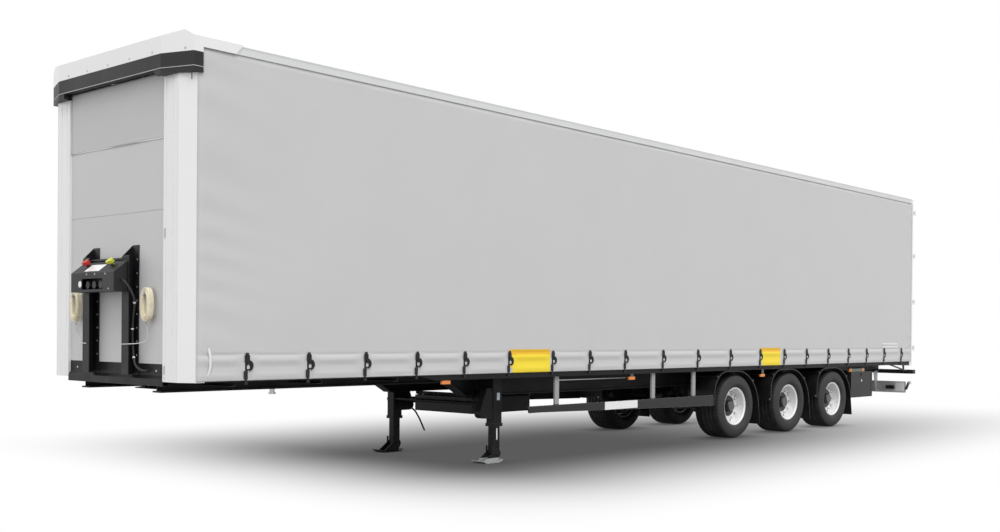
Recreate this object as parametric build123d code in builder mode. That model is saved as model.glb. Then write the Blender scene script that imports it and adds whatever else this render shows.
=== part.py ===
from build123d import *
import os
from math import atan2, cos, pi, radians, sin, tan

os.makedirs("parts", exist_ok=True)

# Low-deck curtain-sided semi trailer with three axles, parked on its landing legs.
# Millimetres. +X is forward, +Y is the trailer's left, +Z is up, and the floor is z = 0.
# Places along the trailer are setbacks, measured back from the front wall's face.

# Whole vehicle
body_length = 13600
body_width = 2550
overall_height = 4000
floor_top = 1050
curtain_bottom = 1010
rail_bottom = 3820
rail_top = 3895
front_reach = 190
rear_reach = 100

# Clearances
seat_gap = 0.3
moving_gap = 8
cut_over = 5

# Chassis beams
beam_spacing = 1300
beam_flange_width = 140
beam_flange_thickness = 14
beam_web = 8
neck_bottom = 898
beam_bottom = 735
neck_end = 3285
slope_end = 3550
beam_front = 62
beam_rear = 13480
tail_start = 12300
tail_bottom = 850

# Floor and cross members
floor_thickness = 30
floor_half = 1190
member_height = 60
member_width = 60
member_wall = 5
member_first = 420
member_pitch = 870
member_count = 15

# Side raves
rave_face = 1245
rave_wall = 6
rave_bottom = 954
rave_lip = 44
rave_front = 160
rave_rear = 13500

# Coupling to the tractor
kingpin_setback = 1600
plate_thickness = 8
plate_front = 420
plate_rear = 3000
plate_width = 1150
kingpin_neck_radius = 25.4
kingpin_collar_radius = 35.75
kingpin_root_radius = 36.5
kingpin_root = 29
kingpin_neck = 36
kingpin_collar = 19

# Front wall
post_inner = 860
post_shoulder = 1100
post_chamfer_depth = 78
post_side = 1250
post_depth = 160
post_return = 1150
post_throat = 55
post_wall = 6
post_bottom = 1000
post_groove_shares = [0.19, 0.64, 0.94]
post_groove_width = 8
post_groove_depth = 3
panel_thickness = 25
panel_setback = 22
panel_seam_height = 2475
panel_seam_width = 8
panel_seam_depth = 3
base_rail_top = 1150
base_rail_depth = 40
base_rail_wall = 6
trim_top = 3775
trim_bottom = 3650
trim_reach = 70
trim_half = 930
trim_thickness = 45
trim_side_length = 118
trim_lip_height = 48
trim_lip_start = 830
trim_lip_thickness = 40
cap_front_top = 3925
cap_crown_setback = 110
cap_side_top = 3907
cap_side_slope_width = 175
cap_wall = 6
cap_length = 487
cap_slant = 72
cap_flange_bottom = 3818
band_bottom = 3085
band_thickness = 6

# Coupling stand on the front wall
stand_post_width = 120
stand_post_depth = 96
stand_post_wall = 7
stand_post_centre = 360
stand_top = 2190
stand_front_top = 2085
stand_foot_height = 130
stand_tie_radius = 18
stand_tie_height = 2062
box_half_width = 392
box_bottom = 1775
box_front_top = 1945
box_rear_top = 2045
box_wall = 6
box_window_half = 190
box_window_top = 1915
box_window_rim = 22
box_plate_setback = -110
gladhand_place_share = 0.66
gladhand_stem = 17
gladhand_stem_height = 30
gladhand_radius = 34
gladhand_height = 26
gladhand_claw_length = 30
gladhand_claw_width = 34
gladhand_spacing = 440
socket_radius = 34
socket_length = 62
socket_spacing = 118
socket_height = 1838
socket_flange = 84
socket_flange_round = 14
socket_flange_thickness = 8

# Rope coils on the front wall
coil_height = 300
coil_width = 165
coil_band = 60
coil_depth = 50
coil_centre = 650
coil_middle = 1662
coil_setback = -30
hook_radius = 8
hook_rise = 26

# Sides
curtain_face = 1258
curtain_thickness = 5
curtain_front = 80
curtain_rear = 13545
rail_face = 1266
rail_width = 58
rail_wall = 5
rail_lip = 10
rail_recess = 3
rail_front = 125
buckle_setbacks = [540, 1160, 1790, 2410, 3040, 3680, 4360, 4990, 5640, 6390,
                   7140, 7900, 8650, 9300, 9940, 10600, 11250, 11870, 12500, 13150]
strap_width = 26
strap_thickness = 3
strap_top = 1238
buckle_reach = 12
buckle_frame_width = 34
buckle_frame_top = 1212
buckle_frame_bottom = 1168
buckle_frame_reach = 8
lever_height = 1138
lever_radius = 34
lever_hole_radius = 22
lever_shift = 2
lever_sweep = 80
lever_sides = 6
clamp_width = 24
clamp_top = 1092
clamp_bottom = 1020
clamp_shift = 12
hook_bottom = 975
side_post_setbacks = [3470, 6840, 10210]
side_post_width = 110
side_post_depth = 50
side_post_wall = 4

# Roof
roof_crown_rise = 66
roof_half = 1232
roof_thickness = 6
roof_front = 120
roof_rear = 13560
bow_count = 12
bow_width = 50
bow_height = 30

# Rear frame and doors
rear_post_width = 62
rear_header_bottom = 3860
rear_sill_bottom = 935
rear_frame_front = 13500
door_thickness = 35
door_gap = 6
door_middle_gap = 12
door_bottom = 1056
door_rim = 45
door_skin = 12
hinge_offset = 48
hinge_axis = 1262
hinge_radius = 13
hinge_pin_radius = 6
hinge_height = 90
hinge_strap = 8
hinge_strap_length = 120
hinge_heights = [1250, 2070, 2890, 3660]
bar_radius = 12
bar_shares = [0.30, 0.74]
bracket_heights = [1200, 1900, 2600, 3300, 3720]
bracket_width = 70
bracket_height = 40
bracket_depth = 30
bracket_foot = 5
handle_heights = [1480, 1360]
handle_length = 430
handle_thickness = 10
handle_width = 34

# Rear end under the floor
buffer_bottom = 786
buffer_top = 857
buffer_depth = 70
buffer_half = 1272
buffer_end = 165
underrun_setback = 13440
underrun_bottom = 450
underrun_height = 200
underrun_depth = 60
underrun_half = 1188
underrun_wall = 5
hanger_thickness = 10
lamp_width = 360
lamp_height = 96
lamp_depth = 40
lamp_centre = 880
lamp_arm = 70
lamp_arm_drop = 110
lamp_arm_radius = 13
outline_lamp_radius = 27
hanger_front = 13290
buffer_pad = 30
buffer_bracket_places = [450, 1100]
buffer_bracket_length = 70

# Landing gear
leg_setback = 3830
leg_spacing = 1740
leg_tube = 126
leg_inner = 96
leg_outer_bottom = 400
leg_top = 935
leg_round = 12
leg_collar = 8
leg_collar_height = 34
foot_length = 290
foot_width = 200
foot_front = 240
foot_thickness = 12
foot_turn_up = 22
foot_turn_length = 46
foot_height = 190
foot_pin_radius = 19
foot_pin_height = 96
foot_ear_radius = 52
shaft_radius = 17
shaft_height = 640
shaft_setback = 3800
gearbox_bottom = 495
gearbox_top = 830
gearbox_length = 190
gearbox_width = 96
gearbox_boss_radius = 62
gearbox_neck_length = 90
bracket_plate_thickness = 10
bracket_plate_bottom = 800
bracket_plate_length = 260
crank_radius = 10
crank_arm_route = [(4020, 540), (4092, 512), (4150, 468), (4215, 372), (4296, 222)]

# Underslung box
box2_front = 3840
box2_rear = 4760
box2_half = 500
box2_bottom = 515
box2_top = 700
box2_strap = 40

# Side guards
guard_front = 4000
guard_rear = 7540
guard_top = 627
guard_bottom = 482
guard_front_bottom = 552
guard_thickness = 28
guard_face = 1240
guard_tip = 26
guard_tip_length = 200
guard_post_setbacks = [4488, 6260, 7125]
guard_post_width = 66
guard_post_depth = 26
guard_post_wall = 5

# Axles and wheels
axle_setbacks = [8105, 9515, 10835]
wheel_track = 2040
tyre_sides = 40
tyre_radius = 448
tyre_width = 445
tyre_bulge_radius = 335
tyre_shoulder_radius = 418
tyre_tread_half = 172
tyre_shoulder_half = 205
rim_seat = 247
rim_flange = 264
rim_flange_width = 12
rim_width = 370
rim_wall = 9
rim_lip = 12
rim_well_depth = 21
rim_well_front = 16
rim_well_width = 96
rim_well_slope = 24
rim_disc = 14
rim_disc_rise = 14
rim_disc_flat = 190
rim_dish = 118
hub_radius = 128
hub_groove = 12
hub_groove_depth = 6
hub_rise = 10
hub_length = 112
hub_cap_radius = 82
hub_cap_length = 52
hub_cap_bevel = 14
spindle_radius = 40
spindle_length = 100
stud_circle = 168
stud_radius = 15
stud_count = 10
stud_length = 26
hand_hole_radius = 20
hand_hole_circle = 212
hand_hole_count = 10
axle_radius = 63
brake_radius = 205
brake_width = 130
brake_plate = 14
brake_drum_radius = 192
chamber_radius = 78
chamber_length = 230
chamber_place = 400
chamber_rise = 118
arm_width = 90
arm_height = 70
arm_front = 470
arm_eye_radius = 52
arm_waist = 46
arm_tip = 24
clamp_plate_width = 120
clamp_plate_length = 190
clamp_plate_thickness = 16
hanger_length = 250
hanger_boss_radius = 58
hanger_bolt_radius = 20
spring_radius = 120
spring_setback = 400
spring_base = 560
spring_piston_radius = 96
spring_waist_radius = 84
spring_waist_height = 62
spring_plate_radius = 104
spring_plate_height = 12
arm_rear = 520
stay_radius = 16
stay_bite = 2
mudguard_front = 555
mudguard_front_end = 490
mudguard_front_radius = 300
mudguard_top = 950
mudguard_rear_radius = 540
mudguard_lip = 14
mudguard_wall = 5
mudguard_width = 460
flap_thickness = 6
flap_bottom = 168
flap_splay = 34

# Tool box
tool_front = 11420
tool_rear = 12150
tool_bottom = 440
tool_top = 862
tool_face = 1225
tool_depth = 480
tool_wall = 8
tool_round = 16
tool_lid = 26
tool_lid_rim = 34
tool_lid_recess = 4
tool_hanger_width = 60
tool_lid_gap = 6
latch_radius = 22
tool_lid_pin_height = 5
lid_lug_width = 30
lid_pin_radius = 4
lid_pin_length = 66

# Marker lamps
marker_places = [(2810, 930), (5800, 900), (8755, 868)]
marker_length = 116
marker_height = 36
marker_depth = 22
marker_plate = 4

# Worked out from the sizes above
front_x = (body_length + rear_reach - front_reach) / 2
half_width = body_width / 2
beam_centre = beam_spacing / 2
floor_bottom = floor_top - floor_thickness
member_bottom = floor_bottom - member_height
sides = (("left", 1), ("right", -1))
rear_face_x = front_x - body_length
hinge_axis_x = rear_face_x - hinge_offset


def along(setback):
    """The X of a place that lies this far back from the front wall's face."""
    return front_x - setback


def middle(front, rear):
    """The X halfway between two setbacks."""
    return along((front + rear) / 2)


# Main beams: two I sections with a low gooseneck
beam_top = floor_bottom
neck_path = [(beam_front, neck_bottom), (neck_end, neck_bottom), (slope_end, beam_bottom),
             (tail_start, beam_bottom), (beam_rear, tail_bottom)]
flange_inner = [(b, z + beam_flange_thickness) for b, z in neck_path]
with BuildPart() as main_beams:
    for side, sign in sides:
        y = sign * beam_centre
        with BuildSketch(Plane.XZ.offset(-(y + beam_web / 2))) as web:
            with BuildLine():
                Polyline([(along(b), z) for b, z in neck_path]
                         + [(along(beam_rear), beam_top), (along(beam_front), beam_top)], close=True)
            make_face()
        extrude(amount=beam_web)
        with BuildSketch(Plane.XZ.offset(-(y + beam_flange_width / 2))) as lower_flange:
            with BuildLine():
                Polyline([(along(b), z) for b, z in neck_path]
                         + [(along(b), z) for b, z in reversed(flange_inner)], close=True)
            make_face()
        extrude(amount=beam_flange_width)
        with Locations((middle(beam_front, beam_rear), y, beam_top - beam_flange_thickness / 2)):
            Box(beam_rear - beam_front, beam_flange_width, beam_flange_thickness)
main_beams.part.label = "main_beams"
export_step(main_beams.part, "parts/main_beams.step")

# Cross members: a channel between the beams and an outrigger on each side
member_inner = beam_centre - beam_flange_width / 2
member_outer = beam_centre + beam_flange_width / 2
rave_inner = rave_face - rave_wall
member_setbacks = [member_first + i * member_pitch for i in range(member_count)]
member_spans = [(-member_inner, member_inner), (member_outer, rave_inner), (-rave_inner, -member_outer)]
with BuildPart() as cross_members:
    for setback in member_setbacks:
        for low, high in member_spans:
            with BuildSketch(Plane.XZ.offset(-high)) as channel:
                with Locations((along(setback), floor_bottom - member_height / 2)):
                    Rectangle(member_width, member_height)
                with Locations((along(setback) + member_wall, floor_bottom - member_height / 2)):
                    Rectangle(member_width, member_height - 2 * member_wall, mode=Mode.SUBTRACT)
            extrude(amount=high - low)
cross_members.part.label = "cross_members"
export_step(cross_members.part, "parts/cross_members.step")

# Side raves: the long edge channels that carry the curtain tensioners
for side, sign in sides:
    with BuildPart() as rave:
        with Locations((middle(rave_front, rave_rear), sign * (rave_face - rave_wall / 2),
                        (rave_bottom + floor_top) / 2)):
            Box(rave_rear - rave_front, rave_wall, floor_top - rave_bottom)
        with Locations((middle(rave_front, rave_rear), sign * (rave_inner - rave_lip / 2),
                        rave_bottom + rave_wall / 2)):
            Box(rave_rear - rave_front, rave_lip, rave_wall)
        with Locations((middle(rave_front, rave_rear), sign * (rave_inner + floor_half) / 2,
                        floor_top - rave_wall / 2)):
            Box(rave_rear - rave_front, rave_inner - floor_half, rave_wall)
    rave.part.label = f"side_rave_{side}"
    export_step(rave.part, f"parts/side_rave_{side}.step")

# Load floor
floor_front = panel_setback + base_rail_depth
with BuildPart() as load_floor:
    with Locations((middle(post_depth, rear_frame_front), 0, floor_top - floor_thickness / 2)):
        Box(rear_frame_front - post_depth, 2 * floor_half, floor_thickness)
    with Locations((middle(floor_front, post_depth), 0, floor_top - floor_thickness / 2)):
        Box(post_depth - floor_front, 2 * post_inner, floor_thickness)
load_floor.part.label = "load_floor"
export_step(load_floor.part, "parts/load_floor.step")

# Rubbing plate under the neck, with its turned-up front edge
plate_bottom = neck_bottom - plate_thickness
with BuildPart() as rubbing_plate:
    with Locations((middle(plate_front, plate_rear), 0, plate_bottom + plate_thickness / 2)):
        Box(plate_rear - plate_front, plate_width, plate_thickness)
    chamfer(rubbing_plate.edges().filter_by(Axis.Z), plate_width / 8)
    with Locations((along(kingpin_setback), 0, neck_bottom)):
        Hole(kingpin_root_radius + seat_gap)
rubbing_plate.part.label = "rubbing_plate"
export_step(rubbing_plate.part, "parts/rubbing_plate.step")

# Kingpin: a turned pin with its root, neck and lower collar
collar_top = plate_bottom - kingpin_root - kingpin_neck
with BuildPart() as kingpin:
    with BuildSketch(Plane.XZ) as pin_half:
        with BuildLine():
            Polyline([(0, neck_bottom), (kingpin_root_radius, neck_bottom),
                      (kingpin_root_radius, plate_bottom - kingpin_root),
                      (kingpin_neck_radius, plate_bottom - kingpin_root),
                      (kingpin_neck_radius, collar_top), (kingpin_collar_radius, collar_top),
                      (kingpin_collar_radius, collar_top - kingpin_collar),
                      (0, collar_top - kingpin_collar)], close=True)
        make_face()
    revolve(axis=Axis.Z)
    with Locations((0, 0, (neck_bottom + member_bottom) / 2)):
        Box(2 * kingpin_root_radius, 2 * member_inner, member_bottom - neck_bottom)
kingpin.part.label = "kingpin"
kingpin_placed = kingpin.part.moved(Location((along(kingpin_setback), 0, 0)))
kingpin_placed.label = "kingpin"
export_step(kingpin_placed, "parts/kingpin.step")

# Front corner posts: hollow sections with a chamfered outer corner
with BuildPart() as front_posts:
    for side, sign in sides:
        with BuildSketch(Plane.XY.offset(post_bottom)) as post_section:
            with BuildLine():
                Polyline([(along(b), sign * y) for b, y in (
                    (0, post_inner), (0, post_shoulder), (post_chamfer_depth, post_side),
                    (post_depth, post_side), (post_depth, post_return), (post_throat, post_inner))],
                    close=True)
            make_face()
            offset(amount=-post_wall, kind=Kind.INTERSECTION, mode=Mode.SUBTRACT)
        extrude(amount=trim_bottom - trim_lip_height - post_bottom)
        with BuildSketch(Plane.XY.offset(post_bottom)) as post_grooves:
            with Locations([(along(post_groove_depth / 2),
                             sign * (post_inner + share * (post_shoulder - post_inner)))
                            for share in post_groove_shares]):
                Rectangle(post_groove_depth, post_groove_width)
        extrude(amount=trim_bottom - trim_lip_height - post_bottom, mode=Mode.SUBTRACT)
front_posts.part.label = "front_posts"
export_step(front_posts.part, "parts/front_posts.step")

# Headboard panel between the posts
with BuildPart() as headboard:
    with Locations((middle(panel_setback, panel_setback + panel_thickness), 0,
                    (base_rail_top + trim_bottom) / 2)):
        Box(panel_thickness, 2 * post_inner, trim_bottom - base_rail_top)
    with Locations((along(panel_setback + panel_seam_depth / 2), 0, panel_seam_height)):
        Box(panel_seam_depth, 2 * post_inner, panel_seam_width, mode=Mode.SUBTRACT)
headboard.part.label = "headboard"
export_step(headboard.part, "parts/headboard.step")

# Base rail: a folded black section across the foot of the front wall
with BuildPart() as front_base_rail:
    with BuildSketch(Plane.XZ.offset(-post_inner)) as base_section:
        with BuildLine():
            Polyline([(along(0), member_bottom), (along(0), floor_bottom),
                      (along(panel_setback), floor_top), (along(panel_setback), base_rail_top),
                      (along(panel_setback + base_rail_depth), base_rail_top),
                      (along(panel_setback + base_rail_depth), member_bottom)], close=True)
        make_face()
        offset(amount=-base_rail_wall, kind=Kind.INTERSECTION, mode=Mode.SUBTRACT)
    extrude(amount=2 * post_inner)
front_base_rail.part.label = "front_base_rail"
export_step(front_base_rail.part, "parts/front_base_rail.step")

# Front top trim: a thick bumper strip that bends round both corners
trim_corner = [(-trim_reach, trim_half), (post_chamfer_depth - trim_thickness, half_width - seat_gap)]
trim_outer = [(trim_side_length, half_width - seat_gap)] + list(reversed(trim_corner))
trim_outer += [(b, -y) for b, y in reversed(trim_outer)]
trim_inner = [(trim_side_length, curtain_face + seat_gap), (post_chamfer_depth, curtain_face + seat_gap),
              (-seat_gap, post_shoulder), (-seat_gap, 0)]
trim_inner += [(b, -y) for b, y in reversed(trim_inner[:-1])]
with BuildPart() as front_top_trim:
    with BuildSketch(Plane.XY.offset(trim_bottom)) as trim_plan:
        with BuildLine():
            Polyline([(along(b), y) for b, y in trim_outer]
                     + [(along(b), y) for b, y in reversed(trim_inner)], close=True)
        make_face()
    extrude(amount=trim_top - trim_bottom)
    for side, sign in sides:
        with BuildSketch(Plane.XY.offset(trim_bottom - trim_lip_height)) as corner_lip:
            with BuildLine():
                Polyline([(along(b), sign * y) for b, y in (
                    (trim_side_length, half_width - seat_gap),
                    (post_chamfer_depth - trim_thickness, half_width - seat_gap),
                    (-trim_reach, trim_half), (-trim_reach, trim_lip_start),
                    (trim_lip_thickness - trim_reach, trim_lip_start),
                    (trim_lip_thickness - trim_reach, post_inner + moving_gap),
                    (panel_setback, post_inner + moving_gap),
                    (post_chamfer_depth, post_side), (post_chamfer_depth, curtain_face + seat_gap),
                    (trim_side_length, curtain_face + seat_gap))], close=True)
            make_face()
        extrude(amount=trim_lip_height)
front_top_trim.part.label = "front_top_trim"
export_step(front_top_trim.part, "parts/front_top_trim.step")

# Front roof cap: a shell that closes the roof's front end and runs back along the side rails
cap_side = half_width
cap_plan = [(cap_length, cap_side), (post_chamfer_depth - trim_thickness, cap_side), (-trim_reach, trim_half)]
cap_plan += [(b, -y) for b, y in reversed(cap_plan)]
with BuildPart() as front_roof_cap:
    with BuildSketch(Plane.XY.offset(trim_top)) as cap_base:
        with BuildLine():
            Polyline([(along(b), y) for b, y in cap_plan], close=True)
        make_face()
    extrude(amount=overall_height - trim_top)
    with BuildSketch(Plane.XZ.offset(-(half_width + cut_over))) as cap_slope:
        with BuildLine():
            Polyline([(along(-trim_reach - cut_over), cap_front_top),
                      (along(-trim_reach), cap_front_top),
                      (along(cap_crown_setback), overall_height),
                      (along(cap_crown_setback), overall_height + cut_over),
                      (along(-trim_reach - cut_over), overall_height + cut_over)], close=True)
        make_face()
    extrude(amount=2 * (half_width + cut_over), mode=Mode.SUBTRACT)
    for side, sign in sides:
        with BuildSketch(Plane.YZ.offset(along(cap_length + cut_over))) as cap_side_slope:
            with BuildLine():
                Polyline([(sign * cap_side, cap_side_top),
                          (sign * (cap_side - cap_side_slope_width), overall_height),
                          (sign * (cap_side - cap_side_slope_width), overall_height + cut_over),
                          (sign * (cap_side + cut_over), overall_height + cut_over),
                          (sign * (cap_side + cut_over), cap_side_top)], close=True)
            make_face()
        extrude(amount=cap_length + trim_reach + 2 * cut_over, mode=Mode.SUBTRACT)
    cap_openings = front_roof_cap.faces().filter_by(Axis.X).sort_by(Axis.X)[:1]
    cap_openings += front_roof_cap.faces().filter_by(Axis.Z).sort_by(Axis.Z)[:1]
    offset(amount=-cap_wall, openings=cap_openings)
    with BuildSketch(Plane.XZ.offset(-(half_width + cut_over))) as cap_flange_cut:
        with BuildLine():
            Polyline([(along(trim_side_length), trim_top - cut_over), (along(trim_side_length), cap_flange_bottom),
                      (along(cap_length - cap_slant), cap_flange_bottom), (along(cap_length), cap_side_top),
                      (along(cap_length + cut_over), cap_side_top),
                      (along(cap_length + cut_over), trim_top - cut_over)], close=True)
        make_face()
    extrude(amount=2 * (half_width + cut_over), mode=Mode.SUBTRACT)
front_roof_cap.part.label = "front_roof_cap"
export_step(front_roof_cap.part, "parts/front_roof_cap.step")

# Tarpaulin band across the top of the front wall
with BuildPart() as front_band:
    with Locations((along(panel_setback - seat_gap - band_thickness / 2), 0,
                    (band_bottom + trim_bottom) / 2)):
        Box(band_thickness, 2 * (post_inner - seat_gap), trim_bottom - band_bottom)
front_band.part.label = "front_band"
export_step(front_band.part, "parts/front_band.step")

# Coupling stand: two channels with sloped heads, open to the left, with foot gussets and a tie tube
stand_front = panel_setback - stand_post_depth
with BuildPart() as coupling_stand:
    for sign in (1, -1):
        centre = sign * stand_post_centre
        web_side = centre - stand_post_width / 2
        with BuildSketch(Plane.XZ.offset(-(centre + stand_post_width / 2))) as stand_side:
            with BuildLine():
                Polyline([(along(panel_setback), floor_top), (along(panel_setback), stand_top),
                          (along(stand_front), stand_front_top), (along(stand_front), floor_top)],
                         close=True)
            make_face()
        extrude(amount=stand_post_width)
        with BuildSketch(Plane.XZ.offset(-(centre + stand_post_width / 2 + cut_over))) as stand_core:
            with Locations((middle(panel_setback - stand_post_wall, stand_front + stand_post_wall),
                            (floor_top + stand_top) / 2)):
                Rectangle(stand_post_depth - 2 * stand_post_wall, stand_top - floor_top + 2 * cut_over)
        extrude(amount=stand_post_width - stand_post_wall + cut_over, mode=Mode.SUBTRACT)
        with BuildSketch(Plane.XZ.offset(-(web_side + stand_post_wall))) as foot_gusset:
            with BuildLine():
                Polyline([(along(panel_setback - stand_post_depth + stand_post_wall), floor_top),
                          (along(panel_setback), floor_top),
                          (along(panel_setback), floor_top + stand_foot_height)], close=True)
            make_face()
        extrude(amount=stand_post_wall)
    with Locations((middle(stand_front, panel_setback), (stand_post_wall - stand_post_width) / 2,
                    stand_tie_height)):
        Cylinder(stand_tie_radius, 2 * stand_post_centre, rotation=(90, 0, 0))
coupling_stand.part.label = "coupling_stand"
export_step(coupling_stand.part, "parts/coupling_stand.step")

# Coupling box: a sheet housing with a sloped top, open at the back between the posts
box_front = -front_reach
box_back = stand_front
with BuildPart() as coupling_box:
    with BuildSketch(Plane.XZ.offset(-box_half_width)) as box_side:
        with BuildLine():
            Polyline([(along(box_back), box_bottom), (along(box_back), box_rear_top),
                      (along(box_front), box_front_top), (along(box_front), box_bottom)], close=True)
        make_face()
    extrude(amount=2 * box_half_width)
    offset(amount=-box_wall, openings=coupling_box.faces().filter_by(Axis.X).sort_by(Axis.X)[:1])
    with Locations((along(box_front), 0, (box_bottom + box_window_top) / 2)):
        Box(2 * box_wall + cut_over, 2 * box_window_half, box_window_top - box_bottom - 2 * box_window_rim,
            mode=Mode.SUBTRACT)
    with Locations((along(box_plate_setback) - box_wall / 2, 0, (box_bottom + box_front_top) / 2)):
        Box(box_wall, 2 * box_half_width - box_wall, box_front_top - box_bottom - box_wall)
coupling_box.part.label = "coupling_box"
export_step(coupling_box.part, "parts/coupling_box.step")

# Couplings: two gladhands on the sloped top and three sockets in the window
box_slope = atan2(box_rear_top - box_front_top, box_back - box_front)
gladhand_x = along(box_front + gladhand_place_share * (box_back - box_front))
gladhand_z = box_front_top + gladhand_place_share * (box_rear_top - box_front_top)
lean = Vector(sin(box_slope), 0, cos(box_slope))
with BuildPart() as couplings:
    for sign in (1, -1):
        seat = Vector(gladhand_x, sign * gladhand_spacing / 2, gladhand_z)
        with BuildSketch(Plane(origin=seat, z_dir=lean)) as stem:
            Circle(gladhand_stem)
        extrude(amount=gladhand_stem_height)
        with BuildSketch(Plane(origin=seat + lean * gladhand_stem_height, z_dir=lean)) as head:
            Circle(gladhand_radius)
            with Locations((0, gladhand_radius)):
                Rectangle(gladhand_claw_width, gladhand_claw_length)
        extrude(amount=gladhand_height)
    with BuildSketch(Plane.YZ.offset(along(box_plate_setback))) as sockets:
        with Locations([(i * socket_spacing, socket_height) for i in (-1, 0, 1)]):
            Circle(socket_radius)
    extrude(amount=socket_length)
    with BuildSketch(Plane.YZ.offset(along(box_plate_setback))) as socket_flanges:
        with Locations([(i * socket_spacing, socket_height) for i in (-1, 0, 1)]):
            RectangleRounded(socket_flange, socket_flange, socket_flange_round)
    extrude(amount=socket_flange_thickness)
couplings.part.label = "couplings"
export_step(couplings.part, "parts/couplings.step")


# Cords: each route is its own list of places, as (setback, y, z)
def cord_path(route):
    """The route as points, and for each corner an arc as large as its two runs allow."""
    points = [Vector(along(b), y, z) for b, y, z in route]
    radii = []
    for before, corner, after in zip(points, points[1:], points[2:]):
        first = corner - before
        second = after - corner
        turn = radians(first.get_angle(second))
        radii.append(0.45 * min(first.length, second.length) / tan(turn / 2))
    return points, radii


def cord_tube(route, diameter):
    """A tube along a route, made as one sweep along straight runs and tangent arcs."""
    points, radii = cord_path(route)
    with BuildPart() as tube:
        with BuildLine() as line:
            FilletPolyline(points, radius=radii)
        with BuildSketch(Plane(origin=points[0], z_dir=points[1] - points[0])):
            Circle(diameter / 2)
        sweep()
    print(f"cord length {line.wire().length:.0f} mm, radii",
          [round(radius) for radius in radii],
          f"volume share {tube.part.volume / (line.wire().length * pi * diameter ** 2 / 4):.3f}")
    return tube.part


cable_diameter = 18
cable_route = [(-130, 392.3, 1880), (-130, 432, 1880), (-112, 466, 1842), (-78, 480, 1782), (-44, 466, 1718),
               (-28, 436, 1650), (-24, 408, 1570), (-26, 396, 1440), (-24, 402, 1320), (-26, 416, 1238),
               (-34, 444, 1176), (-42, 486, 1130), (-34, 540, 1100), (-12, 582, 1088), (21.7, 582, 1088)]
stand_cable = cord_tube(cable_route, cable_diameter)
stand_cable.label = "stand_cable"
export_step(stand_cable, "parts/stand_cable.step")

# Rope hanks: an oval ring each side, hung on a hook, with a tail to the stand's foot
with BuildPart() as rope_coils:
    for sign in (1, -1):
        with BuildSketch(Plane.YZ.offset(along(coil_setback + coil_depth / 2))) as hank:
            with Locations((sign * coil_centre, coil_middle)):
                SlotOverall(coil_height, coil_width, rotation=90)
                SlotOverall(coil_height - 2 * coil_band, coil_width - 2 * coil_band, rotation=90,
                            mode=Mode.SUBTRACT)
        extrude(amount=coil_depth)
rope_coils.part.label = "rope_coils"
export_step(rope_coils.part, "parts/rope_coils.step")

hook_length = panel_setback - coil_setback + coil_depth / 2 + 2 * hook_radius + seat_gap
hook_z = coil_middle + coil_height / 2 - coil_band - hook_radius - seat_gap
with BuildPart() as rope_hooks:
    for sign in (1, -1):
        with BuildSketch(Plane.YZ.offset(along(panel_setback))) as peg:
            with Locations((sign * coil_centre, hook_z)):
                Circle(hook_radius)
        extrude(amount=hook_length)
        with Locations((along(panel_setback) + hook_length - hook_radius, sign * coil_centre,
                        hook_z + hook_rise / 2)):
            Cylinder(hook_radius, hook_rise)
rope_hooks.part.label = "rope_hooks"
export_step(rope_hooks.part, "parts/rope_hooks.step")

rope_diameter = 8
tail_route = [(-30, 650, 1511.7), (-29, 649, 1470), (-22, 645, 1426), (-12, 636, 1388), (-10, 616, 1356),
              (-22, 584, 1336), (-44, 546, 1326), (-64, 504, 1322), (-80, 462, 1320), (-86, 418, 1318),
              (-87, 372, 1317), (-86, 326, 1316)]
with BuildPart() as rope_tails:
    for sign in (1, -1):
        outward = [(b, y if sign > 0 else -y, z) for b, y, z in tail_route]
        add(cord_tube(outward, rope_diameter))
rope_tails.part.label = "rope_tails"
export_step(rope_tails.part, "parts/rope_tails.step")

# Curtains
for side, sign in sides:
    with BuildPart() as curtain:
        with Locations((middle(curtain_front, curtain_rear), sign * (curtain_face - curtain_thickness / 2),
                        (curtain_bottom + rail_bottom) / 2)):
            Box(curtain_rear - curtain_front, curtain_thickness, rail_bottom - curtain_bottom)
    curtain.part.label = f"curtain_{side}"
    export_step(curtain.part, f"parts/curtain_{side}.step")

# Top rails: hollow roof rails that the curtains run under
rail_inner = rail_face - rail_width
for side, sign in sides:
    with BuildPart() as top_rail:
        with BuildSketch(Plane.YZ.offset(along(rear_frame_front))) as rail_section:
            with Locations((sign * (rail_face - rail_width / 2), (rail_bottom + rail_top) / 2)):
                Rectangle(rail_width, rail_top - rail_bottom)
                Rectangle(rail_width - 2 * rail_wall - 2 * rail_recess,
                          rail_top - rail_bottom - 2 * rail_wall, mode=Mode.SUBTRACT)
            with Locations((sign * (rail_face - rail_recess / 2), (rail_bottom + rail_top) / 2)):
                Rectangle(rail_recess, rail_top - rail_bottom - 2 * rail_lip, mode=Mode.SUBTRACT)
        extrude(amount=rear_frame_front - rail_front)
    top_rail.part.label = f"top_rail_{side}"
    export_step(top_rail.part, f"parts/top_rail_{side}.step")

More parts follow.
